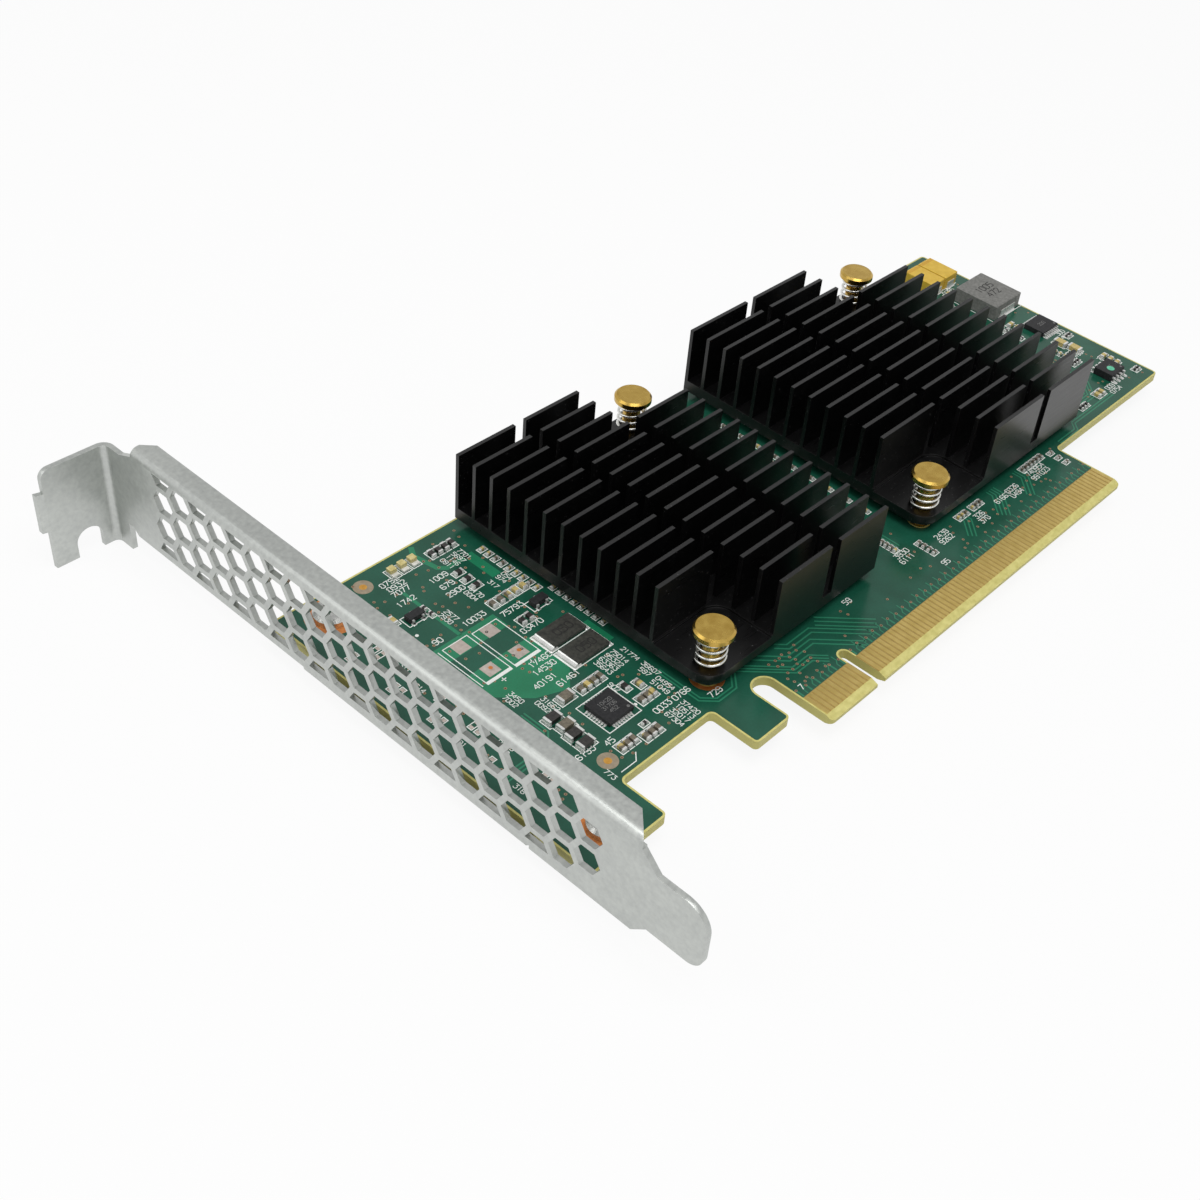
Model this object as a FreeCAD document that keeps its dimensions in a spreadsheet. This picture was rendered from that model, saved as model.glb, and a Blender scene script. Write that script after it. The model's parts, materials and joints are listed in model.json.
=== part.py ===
import FreeCAD, Part
import Sketcher
import math
import os

# Accelerator card on a full-height bracket, in millimetres.
# X runs along the card from the bracket to the far end, with 0 at the middle of the connector's key notch.
# Y runs from the connector's edge (0) to the back edge. Z is up, with 0 at the board's component side.

# Driving sizes
SIZES = {
    # Circuit board outline
    "board_thick": 1.57,
    "board_depth": 68.9,
    "key_to_left": 12.15,
    "key_to_right": 72.15,
    "key_width": 1.9,
    "key_top": 8.0,
    "slot_width": 4.0,
    "slot_top": 12.9,
    "tab_width": 7.63,
    "tab_end": 4.64,
    "recess_width": 18.77,
    "recess_edge": 13.1,
    "foot_width": 14.45,
    "foot_end": 4.8,
    "tail_length": 37.55,
    "tail_edge": 13.05,
    "board_corner": 0.8,
    "bevel_run": 1.3,
    "bevel_drop": 0.47,
    # Contact fingers
    "finger_pitch": 1.0,
    "finger_width": 0.7,
    "finger_first": 1.5,
    "finger_top": 5.6,
    "finger_thick": 0.05,
    # Processors and thermal pads
    "processor_side": 27.0,
    "processor_thick": 1.3,
    "thermal_thick": 0.4,
    # Heat sinks
    "front_sink_x": -22.5,
    "rear_sink_x": 32.04,
    "front_segment": 12.0,
    "rear_segment": 14.9,
    "segment_gap": 2.25,
    "sink_shift": 0.33,
    "base_thick": 2.1,
    "fin_height": 10.2,
    "fin_thick": 0.68,
    "fin_pitch": 3.71,
    "fin_count": 15,
    "pad_fins": 3,
    "pad_margin": 0.35,
    "pad_sink": 0.4,
    "pad_inner_corner": 3.0,
    "pad_outer_corner": 3.4,
    # Push pins and their springs
    "pin_inset_x": 3.5,
    "pin_inset_y": 3.1,
    "pin_shaft": 3.0,
    "pin_barb_out": 0.45,
    "pin_tip_in": 0.4,
    "pin_tip_length": 2.4,
    "pin_barb_edge": 0.5,
    "pin_split": 0.6,
    "pin_hole_clear": 0.3,
    "pin_collar_height": 1.0,
    "pin_collar_clear": 0.1,
    "pin_head": 6.3,
    "pin_head_thick": 1.1,
    "pin_head_chamfer": 0.35,
    "pin_head_height": 9.0,
    "spring_outside": 4.9,
    "spring_wire": 0.5,
    "spring_turns": 4,
    "spring_clear": 0.02,
    # Bracket sheet
    "sheet_thick": 0.86,
    "bend_inside": 0.55,
    "bracket_gap": 1.04,
    "bracket_top": 15.75,
    "fold_width": 3.6,
    "fold_start": -3.9,
    "fold_end": 97.3,
    "fold_start_chamfer": 3.5,
    "fold_end_chamfer": 1.8,
    "tongue_end": -15.0,
    "tongue_start": -6.0,
    "tongue_low": 0.6,
    "tongue_high": 11.2,
    "tongue_high_corner": 4.0,
    "tongue_low_corner": 2.5,
    "shoulder_start": -3.6,
    "shoulder_low": -1.6,
    "shoulder_high": 14.05,
    "neck_start": 100.3,
    "neck_relief": 98.0,
    "screw_tab_y": 103.8,
    "screw_tab_low": -5.0,
    "screw_tab_high": 13.1,
    "screw_tab_reach": 10.7,
    "screw_tab_bend": 1.0,
    "screw_tab_corner": 1.6,
    "notch_offset": 4.7,
    "notch_width": 4.4,
    "notch_top": -0.3,
    "lug_low": 2.1,
    "lug_high": 9.1,
    "lug_reach": 1.1,
    "lug_lean": 0.3,
    # Honeycomb vents
    "vent_pitch": 4.95,
    "vent_flat": 4.0,
    "vent_first_y": 90.2,
    "vent_mid": 7.3,
    "vent_margin": 0.3,
    "vent_columns": 21,
    # Board flange of the bracket and its screws
    "flange_start": 15.1,
    "flange_relief": 0.8,
    "flange_back_inset": 9.5,
    "flange_reach": 4.5,
    "ear_gap": 1.0,
    "ear_half": 3.5,
    "screw_inset": 7.0,
    "screw_front_y": 9.0,
    "screw_back_inset": 4.9,
    "screw_shank": 2.9,
    "screw_hole_clear": 0.4,
    "screw_thread_clear": 0.06,
    "screw_head": 5.6,
    "screw_head_thick": 1.5,
    "screw_dome": 0.5,
    "screw_recess": 0.8,
    "screw_recess_width": 0.9,
    "screw_recess_length": 3.0,
    "screw_below": 0.4,
    # Power inductor
    "inductor_from_end": 5.2,
    "inductor_share": 0.655,
    "inductor_length": 9.2,
    "inductor_depth": 9.8,
    "inductor_height": 3.0,
    # Tantalum capacitors
    "tantalum_from_end": 8.1,
    "tantalum_share": 0.87,
    "tantalum_pitch": 4.6,
    "tantalum_width": 4.3,
    "tantalum_depth": 7.0,
    "tantalum_height": 2.7,
    # Terminals of moulded parts
    "terminal_thick": 0.15,
    "terminal_share": 0.55,
    # Regulator chip
    "regulator_from_end": 4.55,
    "regulator_share": 0.43,
    "regulator_length": 5.6,
    "regulator_depth": 4.4,
    "regulator_height": 1.1,
    "regulator_pitch": 0.65,
    "regulator_leads": 8,
    "regulator_lead_width": 0.26,
    "regulator_lead_reach": 0.9,
    # Memory chip
    "memory_from_end": 8.1,
    "memory_share": 0.115,
    "memory_length": 4.9,
    "memory_depth": 3.9,
    "memory_height": 1.5,
    "memory_pitch": 1.27,
    "memory_leads": 4,
    "memory_lead_width": 0.42,
    "memory_lead_reach": 1.05,
    # Leads of the moulded chips
    "lead_thick": 0.2,
    "chip_standoff": 0.1,
    # Controller chip
    "controller_from_left": 22.8,
    "controller_share": 0.185,
    "controller_side": 5.0,
    "controller_height": 0.9,
    "controller_pitch": 0.5,
    "controller_pads": 8,
    "controller_pad_width": 0.28,
    "controller_pad_reach": 0.25,
    # Large sense resistors
    "sense_from_left": 29.0,
    "sense_back_share": 0.466,
    "sense_pitch": 4.75,
    "sense_length": 7.6,
    "sense_width": 3.9,
    "sense_height": 0.7,
    "sense_near_terminal": 1.3,
    "sense_far_terminal": 0.25,
    "sense_terminal_height": 0.35,
    # Small transistors
    "transistor_length": 2.9,
    "transistor_depth": 1.4,
    "transistor_height": 1.0,
    "transistor_pitch": 0.95,
    "transistor_lead_width": 0.4,
    "transistor_lead_reach": 0.5,
    # Status lights
    "light_from_left": 19.7,
    "light_share": 0.935,
    "light_pitch": 2.0,
    "light_count": 3,
    "light_length": 2.0,
    "light_width": 1.25,
    "light_base": 0.4,
    "light_height": 1.1,
    "light_lens": 1.2,
    "light_lens_shift": 0.25,
    # Ceramic capacitors and chip resistors: small, middle and large size
    "small_length": 1.0,
    "small_width": 0.5,
    "small_height": 0.5,
    "small_terminal": 0.25,
    "middle_length": 1.6,
    "middle_width": 0.8,
    "middle_height": 0.6,
    "middle_terminal": 0.35,
    "large_length": 2.6,
    "large_width": 1.5,
    "large_height": 0.85,
    "large_terminal": 0.4,
}

# Rows of small chip parts, by name: kind, size, long axis, edge measured from, distance of the first part
# from that edge, its share of the board's depth, way the row runs, clear gap between parts and their number.
# The edges are the board's left edge, its far end and the key notch.
CHIP_ROWS = {
    # Behind the bracket
    "light_resistors": ("resistor", "middle", "Y", "left", 27.0, 0.925, "+X", 0.55, 4),
    "gate_resistors": ("resistor", "middle", "X", "left", 27.1, 0.750, "+Y", 1.15, 3),
    "sink_edge_capacitors": ("capacitor", "small", "X", "left", 33.6, 0.635, "+Y", 1.0, 9),
    "sink_shade_capacitors": ("capacitor", "small", "X", "left", 35.6, 0.418, "+Y", 1.0, 8),
    "filter_capacitors": ("capacitor", "middle", "Y", "left", 26.0, 0.665, "+X", 0.75, 5),
    "divider_resistors": ("resistor", "middle", "Y", "left", 26.6, 0.565, "+X", 0.7, 2),
    "pull_down_resistors": ("resistor", "small", "Y", "left", 17.9, 0.745, "+Y", 0.6, 2),
    # Around the controller chip
    "shunt_resistors": ("resistor", "large", "X", "left", 15.6, 0.182, "-Y", 0.7, 2),
    "controller_back_capacitors": ("capacitor", "middle", "Y", "left", 22.7, 0.282, "+X", 0.5, 4),
    "controller_front_capacitors": ("capacitor", "middle", "Y", "left", 18.6, 0.073, "+X", 0.4, 3),
    "controller_side_capacitors": ("capacitor", "middle", "Y", "left", 27.5, 0.151, "+X", 0.35, 3),
    "clock_capacitors": ("capacitor", "middle", "Y", "left", 22.7, 0.057, "+X", 0.4, 3),
    # Between the heat sinks and the connector
    "gap_left_capacitors": ("capacitor", "small", "X", "key", 25.9, 0.105, "-Y", 0.4, 4),
    "gap_right_capacitors": ("capacitor", "small", "X", "key", 30.4, 0.028, "-Y", 0.55, 4),
    "lane_capacitors_1": ("capacitor", "small", "Y", "key", 41.1, 0.015, "+X", 0.6, 3),
    "lane_capacitors_2": ("capacitor", "small", "Y", "key", 45.3, 0.015, "+X", 0.65, 3),
    "lane_capacitors_3": ("capacitor", "small", "Y", "key", 61.3, 0.014, "+X", 0.7, 6),
    "lane_capacitors_4": ("capacitor", "small", "X", "key", 69.6, 0.000, "-Y", 1.15, 3),
    # Between the heat sinks
    "valley_left_capacitors": ("capacitor", "small", "Y", "key", 20.2, 0.30, "+Y", 2.4, 8),
    "valley_resistors": ("resistor", "small", "Y", "key", 23.6, 0.34, "+Y", 3.2, 6),
    "valley_right_capacitors": ("capacitor", "small", "Y", "key", 30.7, 0.225, "+Y", 2.9, 9),
    # Far end
    "tantalum_resistors": ("resistor", "small", "X", "right", 12.3, 0.740, "-Y", 0.7, 3),
    "inductor_capacitors": ("capacitor", "middle", "X", "right", 8.6, 0.510, "-Y", 0.7, 2),
    "feedback_resistors": ("resistor", "small", "X", "right", 11.2, 0.500, "-Y", 0.7, 4),
    "regulator_resistors": ("resistor", "small", "Y", "right", 3.1, 0.335, "+X", 0.5, 2),
    "regulator_capacitors": ("capacitor", "small", "X", "right", 9.9, 0.330, "-Y", 0.6, 5),
    "memory_resistors": ("resistor", "small", "Y", "right", 11.1, 0.225, "+X", 0.5, 3),
    "memory_capacitors": ("capacitor", "middle", "X", "right", 3.6, 0.180, "-Y", 0.7, 3),
    "corner_resistors": ("resistor", "small", "Y", "right", 2.9, 0.060, "+X", 0.5, 2),
    "tail_capacitors": ("capacitor", "middle", "Y", "right", 16.7, 0.070, "+X", 0.7, 2),
    "tail_resistors": ("resistor", "small", "Y", "right", 23.1, 0.066, "+X", 0.5, 3),
}

# Single small chip parts, by name: kind, size, long axis, edge measured from, distance from that edge
# and share of the board's depth
SINGLE_CHIPS = {
    "edge_capacitor": ("capacitor", "middle", "Y", "left", 12.7, 0.790),
    "bulk_capacitor": ("capacitor", "large", "X", "left", 19.9, 0.287),
    "input_resistor": ("resistor", "large", "X", "left", 15.6, 0.257),
    "input_capacitor": ("capacitor", "large", "X", "left", 16.0, 0.218),
    "clock_resistor": ("resistor", "small", "X", "left", 24.4, 0.090),
    "reset_resistor": ("resistor", "middle", "Y", "left", 27.7, 0.212),
    "reset_capacitor": ("capacitor", "middle", "Y", "left", 29.7, 0.195),
    "regulator_input_capacitor": ("capacitor", "large", "Y", "right", 6.5, 0.325),
    "regulator_output_capacitor": ("capacitor", "large", "Y", "right", 6.0, 0.272),
    "inductor_end_capacitor": ("capacitor", "middle", "X", "right", 8.9, 0.775),
}

# Small transistors, by name: distance from the board's left edge and share of the board's depth
TRANSISTORS = {
    "transistor_1": (15.6, 0.765),
    "transistor_2": (31.4, 0.590),
}

# How far a cutting outline runs past the material, and how near two places count as one
OVERRUN = "1"
NEAR = 0.001

for name, (_, _, _, _, distance, share, *row) in {**CHIP_ROWS, **SINGLE_CHIPS}.items():
    SIZES.update({name + "_from": distance, name + "_share": share})
    if row:
        SIZES.update({name + "_gap": row[1], name + "_count": row[2]})
for name, (distance, share) in TRANSISTORS.items():
    SIZES.update({name + "_from": distance, name + "_share": share})

doc = FreeCAD.newDocument("accelerator_card")
sheet = doc.addObject("Spreadsheet::Sheet", "dim")
for row, (alias, value) in enumerate(SIZES.items(), start=1):
    sheet.set("A%d" % row, alias)
    sheet.set("B%d" % row, "%g" % value)
    sheet.setAlias("B%d" % row, alias)
doc.recompute()

# Places worked out from the driving sizes
TAB_RIGHT = "-(dim.key_to_left + dim.slot_width)"
TAB_LEFT = TAB_RIGHT + " - dim.tab_width"
FOOT_RIGHT = TAB_LEFT + " - dim.recess_width"
BOARD_LEFT = FOOT_RIGHT + " - dim.foot_width"
BOARD_RIGHT = "dim.key_to_right + dim.tail_length"
FRONT_SEGMENTS = "(3 * dim.front_segment + 2 * dim.segment_gap)"
REAR_SEGMENTS = "(3 * dim.rear_segment + 2 * dim.segment_gap)"
SINK_DEPTH = "((dim.fin_count - 1) * dim.fin_pitch + dim.fin_thick)"
SINK_MID_Y = "((dim.tail_edge + dim.board_depth) / 2 + dim.sink_shift)"
SINK_FRONT_Y = "(" + SINK_MID_Y + " - " + SINK_DEPTH + " / 2)"
BASE_LOW = "(dim.processor_thick + dim.thermal_thick)"
BASE_HIGH = "(" + BASE_LOW + " + dim.base_thick)"
PAD_FLOOR = "(" + BASE_HIGH + " - dim.pad_sink)"
BRACKET_OUTER = "(" + BOARD_LEFT + " - dim.bracket_gap - dim.sheet_thick)"
BRACKET_INNER = "(" + BOARD_LEFT + " - dim.bracket_gap)"
BEND_OUTSIDE = "(dim.bend_inside + dim.sheet_thick)"
FLANGE_LOW = "(-dim.board_thick - dim.sheet_thick)"
PLATE_LOW = "(" + FLANGE_LOW + " + " + BEND_OUTSIDE + ")"
SCREW_X = "(" + BOARD_LEFT + " + dim.screw_inset)"
SCREW_BACK_Y = "(dim.board_depth - dim.screw_back_inset)"
FLANGE_END = "(dim.board_depth - dim.flange_back_inset)"

nodes = []


def size(alias):
    """The value of one cell of the sheet."""
    return float(sheet.get(alias))


def keep(obj, label):
    """Mark an object as a finished sub-part under its own label."""
    obj.Label = label
    nodes.append(obj)
    return obj


def place(obj, corner):
    """Bind an object's place to three expressions."""
    for axis, expression in zip("xyz", corner):
        obj.setExpression("Placement.Base." + axis, expression)
    return obj


def box(name, corner, sides):
    """A block from its low corner and its sides along X, Y and Z."""
    block = doc.addObject("Part::Box", name)
    for side, expression in zip(("Length", "Width", "Height"), sides):
        block.setExpression(side, expression)
    return place(block, corner)


def middle_box(name, middle, sides):
    """A block from the middle of its underside and its sides along X, Y and Z."""
    across, along, low = middle
    corner = ("%s - (%s) / 2" % (across, sides[0]), "%s - (%s) / 2" % (along, sides[1]), low)
    return box(name, corner, sides)


def cylinder(name, foot, diameter, height):
    """An upright cylinder from the middle of its foot."""
    rod = doc.addObject("Part::Cylinder", name)
    rod.setExpression("Radius", "(%s) / 2" % diameter)
    rod.setExpression("Height", height)
    return place(rod, foot)


def cut(name, base, tool):
    """One object less another."""
    result = doc.addObject("Part::Cut", name)
    result.Base = base
    result.Tool = tool
    return result


def fuse(name, shapes):
    """One solid from several blocks."""
    result = doc.addObject("Part::MultiFuse", name)
    result.Shapes = shapes
    result.Refine = True
    return result


def group(name, members):
    """Several separate solids in one sub-part."""
    result = doc.addObject("Part::Compound", name)
    result.Links = members
    return result


def origin_plane(body, role):
    """One of a body's own origin planes."""
    return next(plane for plane in body.Origin.OriginFeatures if plane.Role == role)


def sketch_on(body, role, name, level="0"):
    """An empty sketch on one of a body's origin planes, lifted by a level."""
    sketch = body.newObject("Sketcher::SketchObject", name)
    sketch.AttachmentSupport = [(origin_plane(body, role), "")]
    sketch.MapMode = "FlatFace"
    sketch.setExpression("AttachmentOffset.Base.z", level)
    return sketch


def add_polygon(sketch, corners):
    """A closed outline whose corners are each bound to a pair of expressions."""
    count = len(corners)
    first = sketch.GeometryCount
    turns = [math.tau * i / count for i in range(count)]
    start = [FreeCAD.Vector(math.cos(turn), math.sin(turn), 0) for turn in turns]
    sketch.addGeometry([Part.LineSegment(start[i], start[(i + 1) % count]) for i in range(count)])
    rules = []
    for i in range(count):
        rules.append(Sketcher.Constraint("Coincident", first + i, 2, first + (i + 1) % count, 1))
    for i in range(count):
        rules.append(Sketcher.Constraint("DistanceX", -1, 1, first + i, 1, start[i].x))
        rules.append(Sketcher.Constraint("DistanceY", -1, 1, first + i, 1, start[i].y))
    bound = sketch.ConstraintCount + count
    sketch.addConstraint(rules)
    for i, (across, along) in enumerate(corners):
        sketch.setExpression("Constraints[%d]" % (bound + 2 * i), across)
        sketch.setExpression("Constraints[%d]" % (bound + 2 * i + 1), along)


def add_circle(sketch, middle, diameter):
    """A circle bound to expressions for its middle and diameter."""
    number = sketch.GeometryCount
    bound = sketch.ConstraintCount
    sketch.addGeometry(Part.Circle(FreeCAD.Vector(1, 1, 0), FreeCAD.Vector(0, 0, 1), 1))
    sketch.addConstraint([
        Sketcher.Constraint("DistanceX", -1, 1, number, 3, 1),
        Sketcher.Constraint("DistanceY", -1, 1, number, 3, 1),
        Sketcher.Constraint("Diameter", number, 2),
    ])
    for offset, expression in enumerate((middle[0], middle[1], diameter)):
        sketch.setExpression("Constraints[%d]" % (bound + offset), expression)


def rectangle(low, high):
    """The corners of an upright rectangle in a sketch."""
    return [(low[0], low[1]), (high[0], low[1]), (high[0], high[1]), (low[0], high[1])]


def pad(body, sketch, name, length, backwards=False):
    """Add a sketch's outline as material."""
    feature = body.newObject("PartDesign::Pad", name)
    feature.Profile = sketch
    feature.setExpression("Length", length)
    feature.Reversed = backwards
    return feature


def pocket(body, sketch, name, length, backwards=False):
    """Take a sketch's outline away, and check that something was cut."""
    doc.recompute()
    before = body.Shape.Volume
    feature = body.newObject("PartDesign::Pocket", name)
    feature.Profile = sketch
    feature.setExpression("Length", length)
    feature.Reversed = backwards
    doc.recompute()
    if body.Shape.Volume >= before:
        raise RuntimeError(name + " cuts nothing")
    return feature


def straight_edges(shape, axis, spots):
    """Names of the straight edges along an axis that lie at the given places on the other two axes."""
    across = [name for name in "xyz" if name != axis]
    found = []
    for number, edge in enumerate(shape.Edges, start=1):
        ends = [[getattr(vertex.Point, name) for name in across] for vertex in edge.Vertexes]
        if len(ends) == 2 and math.dist(ends[0], ends[1]) < NEAR:
            if any(math.dist(ends[0], spot) < NEAR for spot in spots):
                found.append("Edge%d" % number)
    return found


def fillet(body, name, edges, radius):
    """Round the named edges of a body."""
    base = body.Tip
    feature = body.newObject("PartDesign::Fillet", name)
    feature.Base = (base, edges)
    feature.setExpression("Radius", radius)
    doc.recompute()
    return feature


def share_y(share):
    """A place along Y as a share of the board's depth behind the connector."""
    return "(dim.tail_edge + (%s) * (dim.board_depth - dim.tail_edge))" % share


def from_edge(edge, distance):
    """A place along X measured from the board's left edge, its far end or the key notch."""
    return {
        "left": "(%s + %s)" % (BOARD_LEFT, distance),
        "right": "(%s - %s)" % (BOARD_RIGHT, distance),
        "key": "(%s)" % distance,
    }[edge]


def pin_places():
    """The X and Y places of the four push pins, two on each heat sink."""
    places = []
    for left, length in (("dim.front_sink_x", FRONT_SEGMENTS), ("dim.rear_sink_x", REAR_SEGMENTS)):
        places.append((left + " + dim.pin_inset_x", SINK_FRONT_Y + " + dim.pin_inset_y"))
        places.append((
            "%s + %s - dim.pin_inset_x" % (left, length),
            "%s + %s - dim.pin_inset_y" % (SINK_FRONT_Y, SINK_DEPTH),
        ))
    return places


def screw_places():
    """The X and Y places of the two bracket screws."""
    return [(SCREW_X, "dim.screw_front_y"), (SCREW_X, SCREW_BACK_Y)]


def circuit_board():
    """The laminate with its foot, recess, tab, slot, key notch, bevelled edge and holes."""
    body = doc.addObject("PartDesign::Body", "board_body")
    slot_end = "dim.slot_top - dim.slot_width / 2"
    key_end = "dim.key_top - dim.key_width / 2"
    outline = sketch_on(body, "XY_Plane", "board_outline")
    add_polygon(outline, [
        (BOARD_LEFT, "dim.foot_end"),
        (FOOT_RIGHT, "dim.foot_end"),
        (FOOT_RIGHT, "dim.recess_edge"),
        (TAB_LEFT, "dim.recess_edge"),
        (TAB_LEFT, "dim.tab_end"),
        (TAB_RIGHT, "dim.tab_end"),
        (TAB_RIGHT, slot_end),
        ("-dim.key_to_left", slot_end),
        ("-dim.key_to_left", "0"),
        ("dim.key_to_right", "0"),
        ("dim.key_to_right", "dim.tail_edge"),
        (BOARD_RIGHT, "dim.tail_edge"),
        (BOARD_RIGHT, "dim.board_depth"),
        (BOARD_LEFT, "dim.board_depth"),
    ])
    pad(body, outline, "board_laminate", "dim.board_thick", backwards=True)
    doc.recompute()
    slot_corner_y = size("slot_top") - size("slot_width") / 2
    corners = [(edge.Vertexes[0].X, edge.Vertexes[0].Y) for edge in body.Tip.Shape.Edges]
    rounded = [corner for corner in corners if abs(corner[1] - slot_corner_y) > NEAR]
    fillet(body, "board_corners", straight_edges(body.Tip.Shape, "z", rounded), "dim.board_corner")
    slot_round = sketch_on(body, "XY_Plane", "slot_round")
    add_circle(slot_round, (TAB_RIGHT + " + dim.slot_width / 2", slot_end), "dim.slot_width")
    pocket(body, slot_round, "slot_round_cut", "dim.board_thick")
    key_sides = sketch_on(body, "XY_Plane", "key_sides")
    add_polygon(key_sides, rectangle(("-dim.key_width / 2", "-" + OVERRUN), ("dim.key_width / 2", key_end)))
    pocket(body, key_sides, "key_cut", "dim.board_thick")
    key_round = sketch_on(body, "XY_Plane", "key_round")
    add_circle(key_round, ("0", key_end), "dim.key_width")
    pocket(body, key_round, "key_round_cut", "dim.board_thick")
    bevel = sketch_on(body, "YZ_Plane", "bevel", level=BOARD_LEFT)
    add_polygon(bevel, [("0", "0"), ("dim.bevel_run", "0"), ("0", "-dim.bevel_drop")])
    add_polygon(bevel, [
        ("0", "-dim.board_thick"),
        ("dim.bevel_run", "-dim.board_thick"),
        ("0", "dim.bevel_drop - dim.board_thick"),
    ])
    pocket(body, bevel, "bevel_cut", "%s - (%s)" % (BOARD_RIGHT, BOARD_LEFT), backwards=True)
    holes = sketch_on(body, "XY_Plane", "board_holes")
    for spot in pin_places():
        add_circle(holes, spot, "dim.pin_shaft + dim.pin_hole_clear")
    for spot in screw_places():
        add_circle(holes, spot, "dim.screw_shank + dim.screw_hole_clear")
    pocket(body, holes, "board_hole_cut", "dim.board_thick")
    keep(body, "circuit_board")


def contact_fingers():
    """The gold contacts on both faces, as many as fit on each side of the key notch."""
    reach = size("finger_first") + size("finger_width") / 2
    levels = {"contact_fingers_top": "0", "contact_fingers_bottom": "-dim.board_thick - dim.finger_thick"}
    for label, level in levels.items():
        fingers = []
        for side, width in ((-1, size("key_to_left")), (1, size("key_to_right"))):
            for step in range(int((width - reach) / size("finger_pitch")) + 1):
                middle = "%d * (dim.finger_first + %d * dim.finger_pitch)" % (side, step)
                fingers.append(box(
                    "finger",
                    (middle + " - dim.finger_width / 2", "dim.bevel_run", level),
                    ("dim.finger_width", "dim.finger_top - dim.bevel_run", "dim.finger_thick"),
                ))
        keep(group(label, fingers), label)


def heat_sink(label, left, segment, length):
    """One cross-cut heat sink with a bare pad for a push pin at two opposite corners."""
    body = doc.addObject("PartDesign::Body", label + "_body")
    place(body, (left, SINK_FRONT_Y, BASE_LOW))
    floor = sketch_on(body, "XY_Plane", label + "_base")
    add_polygon(floor, rectangle(("0", "0"), (length, SINK_DEPTH)))
    pad(body, floor, label + "_base_pad", "dim.base_thick")
    fin = sketch_on(body, "XY_Plane", label + "_fin", level="dim.base_thick")
    add_polygon(fin, rectangle(("0", "0"), (length, "dim.fin_thick")))
    first_fin = pad(body, fin, label + "_fin_pad", "dim.fin_height")
    fins = body.newObject("PartDesign::LinearPattern", label + "_fins")
    fins.Originals = [first_fin]
    fins.Direction = (origin_plane(body, "Y_Axis"), [""])
    fins.setExpression("Length", "(dim.fin_count - 1) * dim.fin_pitch")
    fins.setExpression("Occurrences", "dim.fin_count")
    body.Tip = fins
    top = "dim.base_thick + dim.fin_height"
    cuts = sketch_on(body, "XY_Plane", label + "_gaps", level=top)
    for start in (segment, "2 * %s + dim.segment_gap" % segment):
        add_polygon(cuts, rectangle(
            (start, "-" + OVERRUN),
            (start + " + dim.segment_gap", "%s + %s" % (SINK_DEPTH, OVERRUN)),
        ))
    pocket(body, cuts, label + "_gap_cut", "dim.fin_height")
    pad_x = "%s + dim.segment_gap - dim.pad_margin" % segment
    pad_y = "dim.pad_fins * dim.fin_pitch - dim.pad_margin"
    corners = sketch_on(body, "XY_Plane", label + "_pads", level=top)
    add_polygon(corners, rectangle(("-" + OVERRUN, "-" + OVERRUN), (pad_x, pad_y)))
    add_polygon(corners, rectangle(
        ("%s - (%s)" % (length, pad_x), "%s - (%s)" % (SINK_DEPTH, pad_y)),
        ("%s + %s" % (length, OVERRUN), "%s + %s" % (SINK_DEPTH, OVERRUN)),
    ))
    pocket(body, corners, label + "_pad_cut", "dim.fin_height + dim.pad_sink")
    box_now = body.Tip.Shape.BoundBox
    inner_x = size(segment.split(".")[1]) + size("segment_gap") - size("pad_margin")
    inner_y = size("pad_fins") * size("fin_pitch") - size("pad_margin")
    inner = [(inner_x, inner_y), (box_now.XMax - inner_x, box_now.YMax - inner_y)]
    fillet(body, label + "_pad_round", straight_edges(body.Tip.Shape, "z", inner), "dim.pad_inner_corner")
    outer = [(0, 0), (box_now.XMax, box_now.YMax)]
    fillet(body, label + "_base_round", straight_edges(body.Tip.Shape, "z", outer), "dim.pad_outer_corner")
    holes = sketch_on(body, "XY_Plane", label + "_holes", level="dim.base_thick")
    add_circle(holes, ("dim.pin_inset_x", "dim.pin_inset_y"), "dim.pin_shaft + dim.pin_hole_clear")
    add_circle(
        holes,
        (length + " - dim.pin_inset_x", SINK_DEPTH + " - dim.pin_inset_y"),
        "dim.pin_shaft + dim.pin_hole_clear",
    )
    pocket(body, holes, label + "_hole_cut", "dim.base_thick")
    keep(body, label)


def heat_sinks():
    """Both heat sinks, each over a processor with a thermal pad between them."""
    sinks = (
        ("front", "dim.front_sink_x", "dim.front_segment", FRONT_SEGMENTS),
        ("rear", "dim.rear_sink_x", "dim.rear_segment", REAR_SEGMENTS),
    )
    side = "dim.processor_side"
    for name, left, segment, length in sinks:
        heat_sink("heat_sink_" + name, left, segment, length)
        middle = ("%s + %s / 2" % (left, length), SINK_MID_Y)
        package = middle_box("processor", (*middle, "0"), (side, side, "dim.processor_thick"))
        keep(package, "processor_" + name)
        filler = middle_box("thermal", (*middle, "dim.processor_thick"), (side, side, "dim.thermal_thick"))
        keep(filler, "thermal_pad_" + name)


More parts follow.
